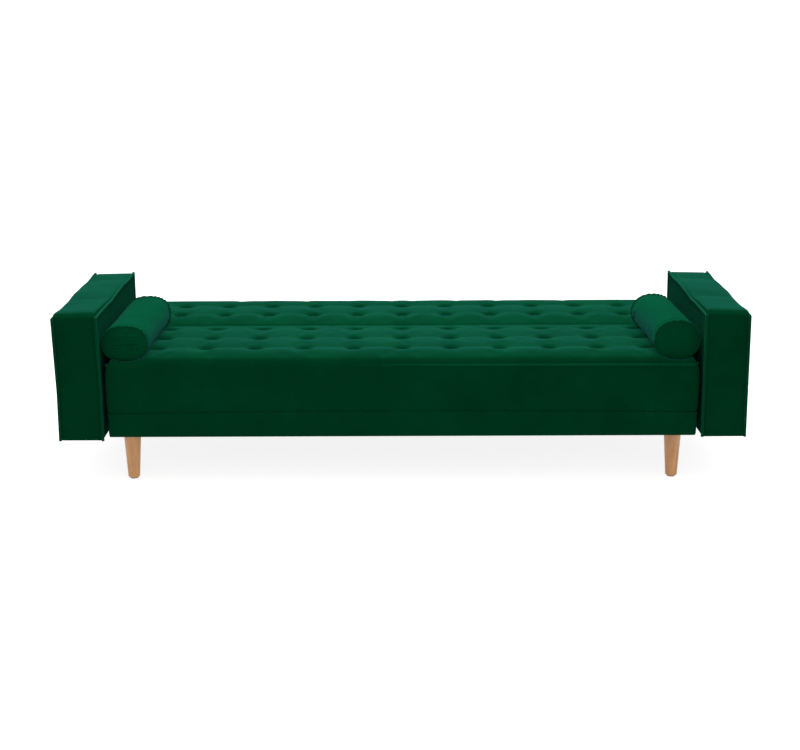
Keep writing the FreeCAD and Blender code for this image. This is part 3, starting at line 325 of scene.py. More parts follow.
def bolster_underside(x, y):
    """Height of a bolster's underside over a point of the seat, or a large number beside it."""
    half = (bolster_high.x - bolster_low.x) / 2 + 0.004
    across = (np.abs(x) - (bolster_low.x + half)) / half
    round_under = UNDER_BOLSTER * (1 - np.clip(1 - np.abs(across) ** 2.2, 0, 1) ** (1 / 2.2))
    along = np.clip(y - bolster_high.y - 0.004, 0, None)
    under = bolster_low.z - SINK + round_under + along * 0.9
    return np.where(np.abs(across) >= 0.98, 9.0, under)


def cushion(name, low, high, piped_y, hinge_y, buttons, rows):
    """A tufted box cushion: a crowned top panel, boxing walls and a flat underside."""
    width, bottom = high.x, low.z
    counts = [round(2 * width / GRID), round((high.y - low.y) / GRID), round((high.z - low.z) / GRID)]
    keys, faces = box_grid(counts)
    u, v, t = (keys / counts).T
    if piped_y > hinge_y:
        v = 1 - v
    outward = math.copysign(1, hinge_y - piped_y)
    arc_y, arc_z = hinge_y - outward * HINGE_ROUND, high.z - HINGE_ROUND
    wall, arc = arc_z - bottom, HINGE_ROUND * HINGE_SEAM
    run = t * (wall + arc)
    turn = np.clip((run - wall) / HINGE_ROUND, 0, HINGE_SEAM)
    hinge_side_y = arc_y + outward * HINGE_ROUND * np.cos(turn)
    hinge_side_z = np.where(run < wall, bottom + run, arc_z + HINGE_ROUND * np.sin(turn))
    piped_z = bottom + (WELT_Z - bottom) * t
    x = width * (2 * u - 1)
    y = piped_y * (1 - v) + hinge_side_y * v
    z = piped_z * (1 - v) + hinge_side_z * v
    places = np.stack([x, y, z], axis=1)

    top = keys[:, 2] == counts[2]
    seam_y = arc_y + outward * HINGE_ROUND * math.cos(HINGE_SEAM)
    from_piping = np.abs(y - piped_y)
    from_hinge = np.abs(seam_y - y)
    from_side = width - np.abs(x)
    near_hinge = np.sin(np.clip(from_hinge / 0.10, 0, 1) * math.pi / 2)
    if name == "seat_cushion":
        slope = np.sin(np.clip(from_piping / 0.09, 0, 1) * math.pi / 2)
        near_piping = 0.6 * quarter(from_piping / 0.012) + 0.4 * slope
    else:
        near_piping = quarter(from_piping / 0.042)
    crown = z + (CREST - z) * near_piping * near_hinge * quarter(from_side / 0.05)
    spots = np.array(tuft_places(*buttons, rows))
    reach = to_nearest(spots, x, y)
    for row_y in np.unique(spots[:, 1]):
        crown -= ROW_VALLEY * np.exp(-(((y - row_y) / 0.024) ** 2)) * quarter(from_side / 0.12)
    pit = np.exp(-(np.clip((reach - 0.009) / 0.013, 0, None) ** 1.3))
    crown -= (crown - (high.z - BUTTON_SINK)) * pit
    if name == "seat_cushion":
        crown = np.minimum(crown, bolster_underside(x, y) - 0.0015)
        tucked = ~top & (keys[:, 2] == 0) & ((from_side < 1e-6) | (from_piping < 1e-6))
        z = np.where(tucked, z - TUCK, z)
    places[:, 2] = np.where(top, crown, z)
    if name == "backrest_cushion":  # its underside lies over the rear panel
        over_panel = (np.abs(x) < panel_high.x - GRID) & (y > panel_low.y + GRID) & (y < panel_high.y - GRID)
        places[over_panel & (keys[:, 2] == 0), 2] = panel_high.z + 0.0006
    full = np.sin(np.clip((z - bottom) / (WELT_Z - bottom), 0, 1) * math.pi) ** 0.5
    ahead = np.clip((0.02 - y) / 0.06, 0, 1)
    places[:, 0] += np.where(~top & (from_side < 1e-6), np.sign(x) * SIDE_FULL * full * ahead, 0)

    for side in (-1, 1):
        centre = (side * (width - CORNER), piped_y + outward * CORNER)
        round_corner(places, (0, 1), centre, (side, -outward), CORNER)
    piece = new_mesh(name, places, faces)

    pins = np.zeros(len(places))
    pins[keys[:, 2] == 0] = 1
    at_side = np.minimum(keys[:, 0], counts[0] - keys[:, 0]) == 0
    rim = top & (at_side | (from_piping < 1e-4) | (from_hinge < 1e-4))
    pins[rim] = 1
    pins[top & (reach < 0.010)] = 1
    if name == "seat_cushion":
        pins[top & (bolster_underside(x, y) < CREST + 0.004)] = 1
    pins[~top & (np.abs(x) > width - 0.02) & (y > 0)] = 1
    pins[~top & (from_hinge < 0.045) & (z > 0.23)] = 1
    settle_later(piece, pins, pressure=0.8, grow=0.002, furthest=0.003, bending=4.0)
    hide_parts(name.replace("cushion", "cover"), name.replace("cushion", "foam"))
    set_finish(piece, "velvet")
    return piece


def pull_lines(piece, buttons, rows):
    """The short folds that each button draws in its panel, across and along."""
    places = get_places(piece)
    x, y, z = places.T
    on_top = z > seat_high.z - 0.02
    depth = np.zeros(len(places))
    for spot_x, spot_y in tuft_places(*buttons, rows):
        dx, dy = x - spot_x, y - spot_y
        near = on_top & (np.abs(dx) < 0.09) & (np.abs(dy) < 0.07)
        for _ in range(4):
            turn = rng.choice((0, 0, math.pi, math.pi, math.pi / 2, -math.pi / 2)) + rng.uniform(-0.3, 0.3)
            along = dx * math.cos(turn) + dy * math.sin(turn)
            aside = -dx * math.sin(turn) + dy * math.cos(turn)
            length = rng.uniform(0.020, 0.040)
            groove = np.exp(-((aside / 0.0045) ** 2)) * np.exp(-np.clip(along - 0.008, 0, None) / length)
            depth += np.where(near & (along > 0.004), groove * rng.uniform(0.0006, 0.0016), 0)
    places[:, 2] -= np.minimum(depth, 0.0025)
    set_places(piece, places)
    # Painted shade round each button: a point attribute, strongest at the buttons, that darkens the velvet
    # in the pits.
    reach = to_nearest(np.array(tuft_places(*buttons, rows)), x, y)
    painted_pit_shade = piece.data.attributes.new("painted_pit_shade", "FLOAT", "POINT")
    painted_pit_shade.data.foreach_set("value", (np.exp(-((reach / 0.019) ** 2)) * on_top).astype(np.float32))


def crease(places, start, end, width):
    """How strongly a soft line from start to end, in x and z, presses in at each place."""
    line = np.array(end) - np.array(start)
    offset = places[:, (0, 2)] - np.array(start)
    share = np.clip(offset @ line / (line @ line), 0, 1)
    away = np.linalg.norm(offset - share[:, None] * line, axis=1)
    return np.exp(-((away / width) ** 2)) * np.sin(np.clip(share, 0.02, 0.98) * math.pi) ** 0.5


def corner_creases(piece):
    """The folds of a boxed cover near its front corners."""
    places = get_places(piece)
    depth = np.zeros(len(places))
    for side in (-1, 1):
        for inset in (0.012, 0.021):
            x = side * (seat_high.x - inset)
            depth += 0.0014 * crease(places, (x, 0.232), (x + side * 0.002, rng.uniform(0.33, 0.37)), 0.0035)
        for _ in range(4):
            start = (side * (seat_high.x - rng.uniform(0.01, 0.03)), rng.uniform(0.228, 0.24))
            end = (side * (seat_high.x - rng.uniform(0.09, 0.17)), rng.uniform(0.25, 0.31))
            depth += rng.uniform(0.0006, 0.0012) * crease(places, start, end, 0.006)
    on_front = places[:, 1] < seat_low.y + 0.006
    pressed = np.minimum(places[:, 1] + depth, seat_low.y + 0.0009)
    places[:, 1] = np.where(on_front & (depth > 1e-5), np.maximum(pressed, places[:, 1]), places[:, 1])
    set_places(piece, places)


def buttons(name, low, high, rows):
    """Velvet-covered buttons, each a low dome whose cover is gathered under its rim."""
    rings, sides = 7, 20
    places, faces = [], []
    for x, y in tuft_places(low, high, rows):
        start = len(places)
        tilt_x, tilt_y = rng.uniform(-0.06, 0.06), rng.uniform(-0.06, 0.06)
        for r in range(rings + 1):
            turn = math.pi * 0.62 * r / rings
            radius = BUTTON_RADIUS * math.sin(turn) * 0.98
            height = low.z + 0.0005 - BUTTON_SINK + (high.z - low.z) * (0.35 + 0.65 * math.cos(turn))
            for s in range(sides):
                angle = 2 * math.pi * s / sides
                pucker = 1 + 0.03 * (r / rings) * math.cos(angle * 7 + x * 40)
                px, py = radius * math.cos(angle) * pucker, radius * math.sin(angle) * pucker
                places.append((x + px, y + py, height + px * tilt_x + py * tilt_y))
        for r in range(rings):
            for s in range(sides):
                a = start + r * sides + s
                b = start + r * sides + (s + 1) % sides
                faces.append((a, a + sides, b + sides, b))
        faces.append(tuple(start + rings * sides + s for s in range(sides)))
    piece = new_mesh(name, places, faces)
    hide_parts(name)
    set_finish(piece, "button")
    return piece


def crossing_welt(name, y, inward):
    """The welt along a cushion's long edge, turned a little way round both corners."""
    end, height = seat_high.x + WELT, WELT_Z + 0.002
    corners = [(-end, y + inward * 2.4 * CORNER, height), (-end, y, height)]
    corners += [(-x, py, z) for x, py, z in reversed(corners)]
    return tube(name, rounded_path(corners, CORNER + WELT), FRONT_WELT)


# --- Arms ----------------------------------------------------------------------------------------

ARM_FRONT_ROUND = 0.020
ARM_BACK_ROUND = 0.014
WELT_BEND = 0.016  # radius of a welt's bend at an arm's top corners
REAR_RISE = 0.004
ARM_DROP = 0.005  # how much lower an arm's top is at its outer side
FRONT_DROP = {"right": 0.005, "left": 0.0}
LEAN = {"right": (0.008, 0.0), "left": (0.0, -0.003)}  # outwards at the top, in front and behind
RISE = {"right": 0.005, "left": 0.003}  # how much higher the whole top is
HANG = {"right": 0.007, "left": 0.0}  # how far the front bottom edge sags
inner_x, outer_x = arm_low.x, arm_high.x


def slouch(places, side_name):
    """The uneven stuffing of a real arm: its top leans, and is lower outside and in front."""
    x, y, z = places.T
    across = np.clip((x - inner_x) / (outer_x - inner_x), 0, 1)
    height = np.clip((z - 0.30) / (arm_high.z - 0.30), 0, 1)
    front = np.clip((0.15 - y) / (0.15 - arm_low.y), 0, 1)
    lean_front, lean_back = LEAN[side_name]
    moved = places.copy()
    wave = 0.0022 * np.sin(y * 17 + x * 9) + 0.0008 * np.sin(y * 41 + 1)
    moved[:, 2] += (wave + RISE[side_name]) * height**2
    moved[:, 2] -= HANG[side_name] * front * np.clip((0.30 - z) / (0.30 - arm_low.z), 0, 1)
    moved[:, 0] += (lean_back + (lean_front - lean_back) * front) * height
    moved[:, 2] -= (ARM_DROP * across + FRONT_DROP[side_name] * front - REAR_RISE * (1 - front)) * height**2
    moved[:, 0] *= SIDES[side_name]
    return moved


def arm(side_name):
    """A padded box arm: two flat side panels and a boxing strip with soft corners."""
    low = np.array([inner_x, arm_low.y, arm_low.z])
    high = np.array([outer_x, arm_high.y, arm_high.z])
    counts = [round(n) for n in (high - low) / GRID]
    keys, faces = box_grid(counts)
    places = low + (high - low) * keys / counts
    edge = 0.007
    core = np.clip(places, low + edge, high - edge)
    core[:, 2] = np.clip(places[:, 2], low[2], high[2] - edge)
    out = places - core
    size = np.linalg.norm(out, axis=1, keepdims=True)
    places = np.where(size > 1e-9, core + out / np.maximum(size, 1e-9) * np.minimum(size, edge), places)
    for towards, y, radius in ((-1, low[1], ARM_FRONT_ROUND), (1, high[1], ARM_BACK_ROUND)):
        round_corner(places, (1, 2), (y - towards * radius, high[2] - radius), (towards, 1), radius)
    places = slouch(places, side_name)
    if SIDES[side_name] < 0:
        faces = [tuple(reversed(face)) for face in faces]
    piece = new_mesh(f"{side_name}_arm", places, faces)

    i, j, k = keys.T
    near_panel = np.minimum(i, counts[0] - i) <= 1
    near_rim = np.minimum(np.minimum(j, counts[1] - j), counts[2] - k) <= 1
    pins = np.zeros(len(places))
    pins[near_panel & near_rim] = 1
    pins[k == 0] = 1
    settle_later(piece, pins, pressure=0.8, grow=0.0, furthest=0.004, bending=15.0)
    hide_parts(f"{side_name}_arm_cover", "arm_padding")
    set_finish(piece, "velvet")
    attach(piece, "base")
    return piece


def arm_welts():
    """Round welts in both seams of both arms."""
    loops = []
    outer = welts_high.x - ARM_WELT
    near, far, top = arm_low.y - 0.0008, arm_high.y + 0.0008, arm_high.z + 0.0005
    for side_name in SIDES:
        for x in (inner_x - (outer - outer_x), outer):
            corners = [(x, near, arm_low.z), (x, near, top), (x, far, top), (x, far, arm_low.z)]
            path = slouch(np.array([tuple(p) for p in rounded_path(corners, WELT_BEND)]), side_name)
            loops.append(tube("arm_welt", path, ARM_WELT))
    piece = join("arm_welts", loops)
    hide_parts("arm_piping")
    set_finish(piece, "piping")
    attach(piece, "base")
    return piece


# --- Base ----------------------------------------------------------------------------------------


def base_band():
    """The velvet band round the base, turned under at the bottom edge."""
    tall = base_high.z - base_low.z
    profile = [(0.0004, tall + 0.0010), (0.0022, tall + 0.0022), (0.0040, tall + 0.0012)]
    profile += [(0.0042, tall - 0.0012), (0.0026, tall - 0.0032), (0.0018, tall - 0.007)]
    profile += [(0.0018, tall * s) for s in (0.8, 0.6, 0.4, 0.2)]
    profile += [(0.0010, 0.004), (-0.0010, 0.0008), (-0.0040, -0.0004), (-0.0300, -0.0004)]
    x, near, far = base_high.x - BAND_CORNER, base_low.y + BAND_CORNER, base_high.y - BAND_CORNER
    outline = []
    corners = [(x, far, 0), (-x, far, 90), (-x, near, 180), (x, near, 270)]
    for number, (cx, cy, first) in enumerate(corners):
        for step in range(7):
            turn = math.radians(first + 15 * step)
            outline.append((cx, cy, turn))
        next_x, next_y, _ = corners[(number + 1) % 4]
        steps = max(2, int(math.hypot(next_x - cx, next_y - cy) / 0.02))
        for step in range(1, steps):
            share = step / steps
            outline.append((cx + (next_x - cx) * share, cy + (next_y - cy) * share, turn))
    places, faces = [], []
    rows = len(profile)
    for cx, cy, turn in outline:
        for out, up in profile:
            wave = 0.0009 * noise.noise(Vector((cx * 9, cy * 9, up * 30)))
            reach = BAND_CORNER + out + (wave if 0.002 < up < tall * 0.9 else 0)
            reach = max(reach, BAND_CORNER + 0.0002) if up > 0.002 else reach
            rise = BAND_BOW * (1 - (cx / base_high.x) ** 2) * max(0, up / tall - 0.6) / 0.4
            places.append((cx + reach * math.cos(turn), cy + reach * math.sin(turn), base_low.z + up + rise))
    for a in range(len(outline)):
        b = (a + 1) % len(outline)
        for r in range(rows - 1):
            faces.append((a * rows + r, a * rows + r + 1, b * rows + r + 1, b * rows + r))
    piece = new_mesh("base_band", places, faces)
    thick = piece.modifiers.new("thick", "SOLIDIFY")
    thick.thickness = 0.0014
    thick.offset = -1
    bpy.context.view_layer.objects.active = piece
    bpy.ops.object.modifier_apply(modifier=thick.name)
    subdivide(piece)
    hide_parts("base_cover")
    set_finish(piece, "velvet")
    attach(piece, "base")
    return piece


# --- Bolsters ------------------------------------------------------------------------------------


DISC_RINGS, BODY_RINGS, BOLSTER_SIDES = 16, 60, 96


def bolster_section(side_name, turn, where):
    """A point of a bolster's outline, a slightly squashed circle, across and above its underside."""
    shape = BOLSTERS[side_name]
    power = 2 / shape["power"]
    behind = (where + 1) / 2
    tall = shape["tall"][0] * (1 - behind) + shape["tall"][1] * behind
    aside = shape["turn"][0] * (1 - behind) + shape["turn"][1] * behind
    c, n = math.cos(turn), math.sin(turn)
    across = math.copysign(abs(c) ** power, c) * (bolster_high.x - bolster_low.x) / 2
    up = math.copysign(abs(n) ** power, n) * tall / 2
    return across, up, aside * SIDES[side_name], tall / 2


def bolster_axis(side_name):
    low, high = bolster_low, bolster_high
    middle = SIDES[side_name] * (low.x + high.x) / 2
    return middle, (low.y + high.y) / 2, low.z - SINK + 0.0012, (high.y - low.y) / 2 - 0.003


def bolster(side_name):
    """A round bolster: a rolled body, and a disc sewn into each end."""
    x0, y0, floor, half = bolster_axis(side_name)
    rings = [(-1, r / DISC_RINGS) for r in range(DISC_RINGS)]
    rings += [(-1 + 2 * a / BODY_RINGS, 1.0) for a in range(BODY_RINGS + 1)]
    rings += [(1, r / DISC_RINGS) for r in reversed(range(DISC_RINGS))]
    places, faces, pins = [], [], []
    for where, share in rings:
        share = max(share, 0.01)
        disc = where in (-1, 1) and share < 1
        for s in range(BOLSTER_SIDES):
            turn = 2 * math.pi * s / BOLSTER_SIDES
            across, up, aside, middle = bolster_section(side_name, turn, where)
            x, z = across * share, up * share
            bulge = 0.0
            if disc:
                inside = 1 - share**2
                bulge = 0.004 * inside
                if BOLSTERS[side_name]["wrinkle"]:
                    wave = math.sin(z * 520 + 2.2 * noise.noise(Vector((x * 22, z * 60, 1))))
                    bulge += BOLSTERS[side_name]["wrinkle"] * wave * min(1, 3 * inside)
                else:
                    gather = 0.5 + 0.5 * math.sin(turn * 23 + 2 * math.sin(turn * 3))
                    bulge -= 0.0030 * gather * share**4 * min(1, 6 * inside)
            else:
                end = 1 - abs(where)
                gather = math.sin(turn * 31 + 3 * math.sin(turn * 4))
                shrink = 1 - 0.012 * math.exp(-end / 0.02) - 0.010 * math.exp(-end / 0.06) * gather
                soft = 0.010 * noise.noise(Vector((turn * 0.9, where * 1.6, x0 * 9)))
                x, z = x * (shrink + soft), z * (shrink + soft)
            out = math.copysign(bulge, where) if disc else 0
            places.append((x0 + aside + x, y0 + half * where + out, floor + max(0, middle + z)))
            pins.append(1.0 if share > 0.999 and abs(where) == 1 else 0.0)
    for r in range(len(rings) - 1):
        for s in range(BOLSTER_SIDES):
            a, b = r * BOLSTER_SIDES + s, r * BOLSTER_SIDES + (s + 1) % BOLSTER_SIDES
            faces.append((b, a, a + BOLSTER_SIDES, b + BOLSTER_SIDES))
    last = (len(rings) - 1) * BOLSTER_SIDES
    faces.append(tuple(range(BOLSTER_SIDES)))
    faces.append(tuple(reversed(range(last, last + BOLSTER_SIDES))))
    piece = new_mesh(f"{side_name}_bolster_cushion", places, faces)
    settle_later(piece, np.array(pins), pressure=1.0, grow=0.006, furthest=0.003, bending=2.0)
    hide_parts(f"{side_name}_bolster")
    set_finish(piece, "velvet")
    return piece


def finish_bolster(piece, side_name):
    """Rests a settled bolster on the seat, and sews a thin ridge round each end."""
    x0, y0, floor, half = bolster_axis(side_name)
    places = get_places(piece)
    places[:, 2] = np.maximum(places[:, 2], floor)
    set_places(piece, places)
    subdivide(piece)
    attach(piece, f"{side_name}_bolster")
    seams = []
    for where in (-1, 1):
        path = []
        for s in range(160):
            turn = 2 * math.pi * s / 160
            across, up, aside, middle = bolster_section(side_name, turn, where)
            wave = 0.0010 * math.sin(turn * 29 + 2 * math.sin(turn * 5))
            z = floor + max(middle + up * 0.998 + wave, 0.0015)
            path.append((x0 + aside + across * 0.998 + wave, y0 + where * (half + 0.0008), z))
        seams.append(tube("seam", path, 0.0024, sides=8, closed=True))
    seam = join(f"{side_name}_bolster_seams", seams)
    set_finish(seam, "piping")
    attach(seam, f"{side_name}_bolster")
    return [piece, seam]


# --- Materials -----------------------------------------------------------------------------------


def shader(name, roughness, metallic=0.0):
    """A new material, its nodes' links and its shader."""
    material = bpy.data.materials.new(name)
    material.use_nodes = True
    surface = material.node_tree.nodes["Principled BSDF"]
    surface.inputs["Roughness"].default_value = roughness
    surface.inputs["Metallic"].default_value = metallic
    return material, material.node_tree, surface


def texture(tree, kind, **inputs):
    node = tree.nodes.new(f"ShaderNodeTex{kind}")
    for name, number in inputs.items():
        node.inputs[name.replace("_", " ")].default_value = number
    return node


def place_node(tree, scale=(1, 1, 1)):
    """Object coordinates, stretched."""
    coordinates = tree.nodes.new("ShaderNodeTexCoord")
    mapping = tree.nodes.new("ShaderNodeMapping")
    mapping.inputs["Scale"].default_value = scale
    tree.links.new(coordinates.outputs["Object"], mapping.inputs["Vector"])
    return mapping.outputs["Vector"]


def ramp(tree, factor, stops):
    node = tree.nodes.new("ShaderNodeValToRGB")
    elements = node.color_ramp.elements
    while len(elements) < len(stops):
        elements.new(0.5)
    for element, (position, colour) in zip(elements, stops):
        element.position = position
        element.color = (*colour, 1)
    tree.links.new(factor, node.inputs["Fac"])
    return node.outputs["Color"]


def bump(tree, surface, height, distance, strength=1.0, below=None):
    node = tree.nodes.new("ShaderNodeBump")
    node.inputs["Distance"].default_value = distance
    node.inputs["Strength"].default_value = strength
    tree.links.new(height, node.inputs["Height"])
    if below is not None:
        tree.links.new(below, node.inputs["Normal"])
    tree.links.new(node.outputs["Normal"], surface.inputs["Normal"])
    return node.outputs["Normal"]


def mixed(tree, factor, first, second, blend="MIX"):
    node = tree.nodes.new("ShaderNodeMix")
    node.data_type = "RGBA"
    node.blend_type = blend
    for socket, source in ((node.inputs[0], factor), (node.inputs[6], first), (node.inputs[7], second)):
        if isinstance(source, (int, float)):
            socket.default_value = source
        elif isinstance(source, tuple):
            socket.default_value = (*source, 1)
        else:
            tree.links.new(source, socket)
    return node.outputs[2]


def velvet(name, dark, light, sheen=0.55):
    """Short-pile velvet: a deep ground, patches of brushed nap, and a soft sheen."""
    material, tree, surface = shader(name, 0.85)
    where = place_node(tree)
    nap = texture(tree, "Noise", Scale=5.0, Detail=3.0, Roughness=0.55)
    streak = texture(tree, "Noise", Scale=22.0, Detail=4.0, Roughness=0.6)
    pile = texture(tree, "Noise", Scale=900.0, Detail=2.0, Roughness=0.6)
    for node in (nap, streak, pile):
        tree.links.new(where, node.inputs["Vector"])
    brushed = ramp(tree, nap.outputs["Fac"], [(0.3, dark), (0.72, light)])
    lighter = tuple(min(1, c * 1.25) for c in light)
    fine = mixed(tree, streak.outputs["Fac"], brushed, lighter, "MIX")
    ground = mixed(tree, 0.35, brushed, fine)
    grain = ramp(tree, pile.outputs["Fac"], [(0.3, (0.78, 0.78, 0.78)), (0.7, (1.12, 1.12, 1.12))])
    # Painted shade in the button pits: the base colour is darkened where a piece carries the attribute.
    painted_pit_shade = tree.nodes.new("ShaderNodeAttribute")
    painted_pit_shade.attribute_name = "painted_pit_shade"
    shade = ramp(tree, painted_pit_shade.outputs["Fac"], [(0.05, (1, 1, 1)), (0.9, (0.3, 0.3, 0.3))])
    colour = mixed(tree, 1.0, mixed(tree, 1.0, ground, grain, "MULTIPLY"), shade, "MULTIPLY")
    tree.links.new(colour, surface.inputs["Base Color"])
    surface.inputs["Specular IOR Level"].default_value = 0.0
    surface.inputs["Sheen Weight"].default_value = sheen
    surface.inputs["Sheen Roughness"].default_value = 0.42
    surface.inputs["Sheen Tint"].default_value = (0.020, 0.145, 0.130, 1)
    soft_bump = bump(tree, surface, streak.outputs["Fac"], 0.0012, 0.5)
    bump(tree, surface, pile.outputs["Fac"], 0.0004, 0.5, below=soft_bump)
    return material


def wood(name, pale, dark, scale, roughness, coat=0.0):
    """Straight-grained wood whose grain runs along Z."""
    material, tree, surface = shader(name, roughness)
    where = place_node(tree, scale)
    broad = texture(tree, "Noise", Scale=16.0, Detail=5.0, Roughness=0.6, Distortion=1.1)
    fibre = texture(tree, "Noise", Scale=130.0, Detail=6.0, Roughness=0.7)
    for node in (broad, fibre):
        tree.links.new(where, node.inputs["Vector"])
    band = ramp(tree, broad.outputs["Fac"], [(0.32, dark), (0.55, pale), (0.75, pale)])
    lines = ramp(tree, fibre.outputs["Fac"], [(0.42, (0.72, 0.66, 0.6)), (0.56, (1, 1, 1))])
    colour = mixed(tree, 0.6, band, mixed(tree, 1.0, band, lines, "MULTIPLY"))
    tree.links.new(colour, surface.inputs["Base Color"])
    surface.inputs["Coat Weight"].default_value = coat
    surface.inputs["Coat Roughness"].default_value = 0.25
    bump(tree, surface, fibre.outputs["Fac"], 0.0003, 0.35)
    return material


def metal(name, colour, roughness, worn):
    """Plated or coated steel with faint wear."""
    material, tree, surface = shader(name, roughness, 1.0 if worn else 0.0)
    where = place_node(tree)
    wear = texture(tree, "Noise", Scale=60.0, Detail=6.0, Roughness=0.65)
    tree.links.new(where, wear.inputs["Vector"])
    dark = tuple(c * 0.75 for c in colour)
    plated = ramp(tree, wear.outputs["Fac"], [(0.35, dark), (0.65, colour)])
    tree.links.new(plated, surface.inputs["Base Color"])
    smooth, dull = (roughness * 0.8,) * 3, (roughness * 1.25,) * 3
    rough = ramp(tree, wear.outputs["Fac"], [(0.3, smooth), (0.7, dull)])
    tree.links.new(rough, surface.inputs["Roughness"])
    bump(tree, surface, wear.outputs["Fac"], 0.0002, 0.3)
    return material


def cloth(name, colour, scale, depth):
    """Plain woven or felted cloth."""
    material, tree, surface = shader(name, 0.92)
    where = place_node(tree)
    weave = texture(tree, "Voronoi", Scale=scale)
    fuzz = texture(tree, "Noise", Scale=scale * 0.3, Detail=4.0)
    for node in (weave, fuzz):
        tree.links.new(where, node.inputs["Vector"])
    dark = tuple(c * 0.6 for c in colour)
    dyed = ramp(tree, fuzz.outputs["Fac"], [(0.3, dark), (0.7, colour)])
    tree.links.new(dyed, surface.inputs["Base Color"])
    bump(tree, surface, weave.outputs["Distance"], depth, 0.6)
    return material


def moulded(name, colour, roughness):
    """Moulded plastic or rubber with a fine grain."""
    material, tree, surface = shader(name, roughness)
    grain = texture(tree, "Noise", Scale=700.0, Detail=2.0)
    tree.links.new(place_node(tree), grain.inputs["Vector"])
    dark = tuple(c * 0.8 for c in colour)
    tone = ramp(tree, grain.outputs["Fac"], [(0.3, dark), (0.7, colour)])
    tree.links.new(tone, surface.inputs["Base Color"])
    bump(tree, surface, grain.outputs["Fac"], 0.0002, 0.4)
    return material


finishes = {
    "velvet": velvet("velvet", (0.0000, 0.0160, 0.0051), (0.0002, 0.0233, 0.0075)),
    # The welts' velvet is a lighter copy of the same cloth: painted highlight along the piping and seams.
    "piping": velvet("piping_velvet_painted_highlight", (0.0000, 0.0205, 0.0068), (0.0002, 0.0310, 0.0103)),
    # The buttons' velvet is a darker copy of the same cloth: painted shade in the button pits.
    "button": velvet("button_velvet_painted_shade", (0.0000, 0.0120, 0.0040), (0.0002, 0.0180, 0.0060)),
    "leg_wood": wood("leg_wood", (0.40, 0.186, 0.050), (0.252, 0.099, 0.025), (1, 1, 0.12), 0.38, 0.35),
    "frame_wood": wood("frame_wood", (0.55, 0.38, 0.2), (0.4, 0.25, 0.12), (0.1, 1, 1), 0.75),
    "panel_board": wood("panel_board", (0.42, 0.28, 0.16), (0.3, 0.2, 0.11), (1, 1, 1), 0.8),
    "foam": cloth("foam", (0.7, 0.66, 0.42), 420.0, 0.001),
    "felt": cloth("felt", (0.2, 0.19, 0.18), 300.0, 0.001),
    "lining": cloth("lining", (0.012, 0.012, 0.012), 260.0, 0.0006),
    "webbing": cloth("webbing", (0.03, 0.03, 0.03), 350.0, 0.0008),
    "twine": cloth("twine", (0.6, 0.55, 0.4), 900.0, 0.0003),
    "spring_steel": metal("spring_steel", (0.25, 0.25, 0.26), 0.35, True),
    "zinc": metal("zinc", (0.6, 0.61, 0.63), 0.32, True),
    "hinge_steel": metal("hinge_steel", (0.02, 0.02, 0.022), 0.45, False),
    "plastic": moulded("plastic", (0.02, 0.02, 0.02), 0.5),
    "rubber_pad": moulded("rubber_pad", (0.012, 0.012, 0.012), 0.8),
}


def paint(piece, material):
    piece.data.materials.clear()
    piece.data.materials.append(material)


# --- Building ------------------------------------------------------------------------------------

made = []
seat = cushion("seat_cushion", seat_low, seat_high, seat_low.y, seat_high.y, (button_low, button_high), 3)
back = cushion(
    "backrest_cushion", back_low, back_high, back_high.y, back_low.y, (back_button_low, back_button_high), 2
)
arms = [arm(side) for side in SIDES]
bolsters = {side: bolster(side) for side in SIDES}
settle()
for piece, body, spots in (
    (seat, "base", ((button_low, button_high), 3)),
    (back, "backrest", ((back_button_low, back_button_high), 2)),
):
    subdivide(piece)
    pull_lines(piece, *spots)
    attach(piece, body)
    made.append(piece)
corner_creases(seat)
for piece in arms:
    subdivide(piece)
    made.append(piece)
for side, piece in bolsters.items():
    made += finish_bolster(piece, side)
made.append(base_band())
made.append(arm_welts())

for name, body, low, high, rows in (
    ("seat_buttons", "base", button_low, button_high, 3),
    ("backrest_buttons", "backrest", back_button_low, back_button_high, 2),
):
    piece = buttons(name, low, high, rows)
    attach(piece, body)
    made.append(piece)

reach = HINGE_ROUND + WELT
seam_y = seat_high.y - HINGE_ROUND + reach * math.cos(HINGE_SEAM)
seam_z = seat_high.z - HINGE_ROUND + reach * math.sin(HINGE_SEAM)
straight = seat_high.x - 0.020
seam = rounded_path([(-straight, seam_y, seam_z), (straight, seam_y, seam_z)], 0.01)
front_welt = crossing_welt("front_welt", seat_low.y - WELT, 1)
seat_welts = join("seat_welts", [front_welt, tube("seam_welt", seam, WELT)])
back_welt = crossing_welt("backrest_welt", back_high.y + WELT, -1)
for piece, body, node in ((seat_welts, "base", "seat_piping"), (back_welt, "backrest", "backrest_piping")):
    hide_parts(node)
    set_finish(piece, "piping")
    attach(piece, body)
    made.append(piece)

for piece in made:
    paint(piece, finishes[piece["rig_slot"]])
# The bolsters get a lighter copy of the velvet with less sheen: painted light.
rolled = velvet("velvet_painted_bolster_light", (0.0000, 0.0212, 0.0078), (0.0002, 0.0308, 0.0112), sheen=0.29)
for piece in bolsters.values():
    paint(piece, rolled)
# The arms' side panels get a darker copy of the velvet with less sheen: painted shade.
shaded = velvet("velvet_painted_side_shade", (0.0000, 0.0120, 0.0034), (0.0001, 0.0175, 0.0052), sheen=0.12)
for piece in arms:
    piece.data.materials.append(shaded)
    for face in piece.data.polygons:
        face.material_index = int(abs(face.normal.x) > 0.7)
slot_of = {s["node"]: s["material_slot"] for s in frame["record"]["subparts"]}
for name, node in nodes.items():
    paint(node, finishes[slot_of[name]])

# --- Stage, light and camera -----------------------------------------------------------------------


FLOOR = 1500  # half the floor's width
SENSOR, LENS = 36, 71.5
PITCH, ROLL = math.radians(13.34), -0.0037
EYE = (-0.0071, -5.272, 1.4883)


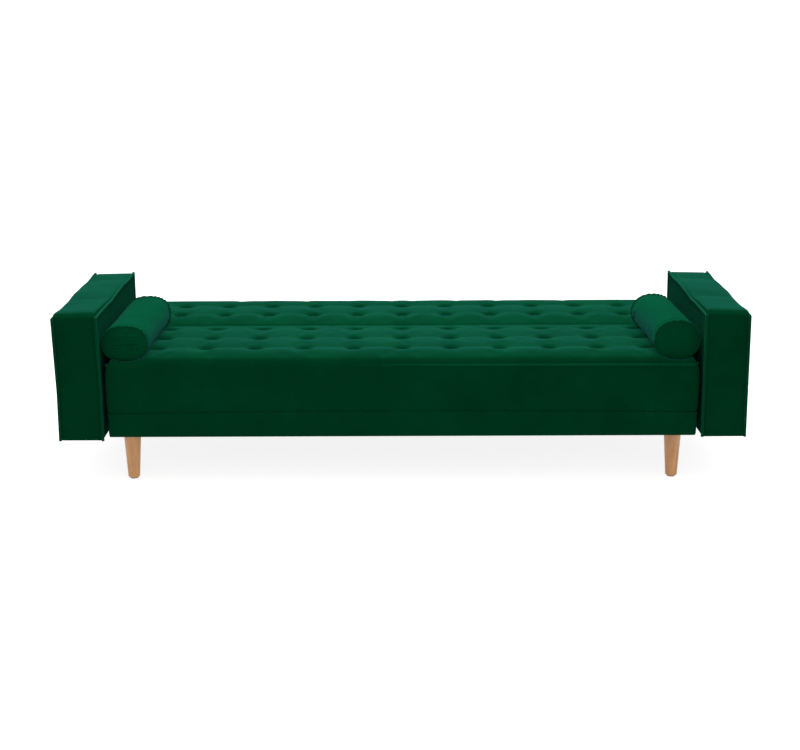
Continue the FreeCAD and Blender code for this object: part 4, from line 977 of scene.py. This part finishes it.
def stage():
    """A plain pale floor under an even white sky."""
    corners = [(-FLOOR, -FLOOR, 0), (FLOOR, -FLOOR, 0), (FLOOR, FLOOR, 0), (-FLOOR, FLOOR, 0)]
    floor = new_mesh("floor", corners, [(0, 1, 2, 3)])
    material, _, surface = shader("floor", 0.9)
    surface.inputs["Base Color"].default_value = (0.3, 0.3, 0.299, 1)
    surface.inputs["Specular IOR Level"].default_value = 0.1
    surface.inputs["Emission Color"].default_value = (1, 1, 1, 1)
    surface.inputs["Emission Strength"].default_value = 0.84
    paint(floor, material)
    world = bpy.data.worlds.new("studio")
    bpy.context.scene.world = world
    world.use_nodes = True
    world.node_tree.nodes["Background"].inputs["Color"].default_value = (1, 1, 1, 1)
    world.node_tree.nodes["Background"].inputs["Strength"].default_value = 1.0


def softbox(name, place, target, size, power):
    lamp = bpy.data.lights.new(name, "AREA")
    lamp.shape = "RECTANGLE"
    lamp.size, lamp.size_y = size
    lamp.energy = power
    made_lamp = bpy.data.objects.new(name, lamp)
    bpy.context.scene.collection.objects.link(made_lamp)
    made_lamp.location = place
    way = Vector(target) - Vector(place)
    made_lamp.rotation_euler = way.to_track_quat("-Z", "Y").to_euler()


def camera():
    """A long lens a little above the arms, level with the sofa bed's middle."""
    lens = bpy.data.cameras.new("camera")
    lens.sensor_width = SENSOR
    lens.lens = LENS
    lens.clip_end = 2 * FLOOR + 1000
    eye = bpy.data.objects.new("camera", lens)
    bpy.context.scene.collection.objects.link(eye)
    forward = Vector((0, math.cos(PITCH), -math.sin(PITCH)))
    across = Vector((1, 0, 0))
    up = across.cross(forward)
    right = across * math.cos(ROLL) + up * math.sin(ROLL)
    above = up * math.cos(ROLL) - across * math.sin(ROLL)
    turn = Matrix((right, above, -forward)).transposed().to_4x4()
    eye.matrix_world = Matrix.Translation(EYE) @ turn
    bpy.context.scene.camera = eye


stage()
softbox("overhead", (0.0, 0.6, 3.4), (0, 0, 0.4), (3.4, 2.4), 268)
softbox("front", (0.0, -5.5, 2.2), (0, 0, 0.3), (4.0, 2.0), 62)
camera()
bpy.context.scene.view_settings.view_transform = "Standard"
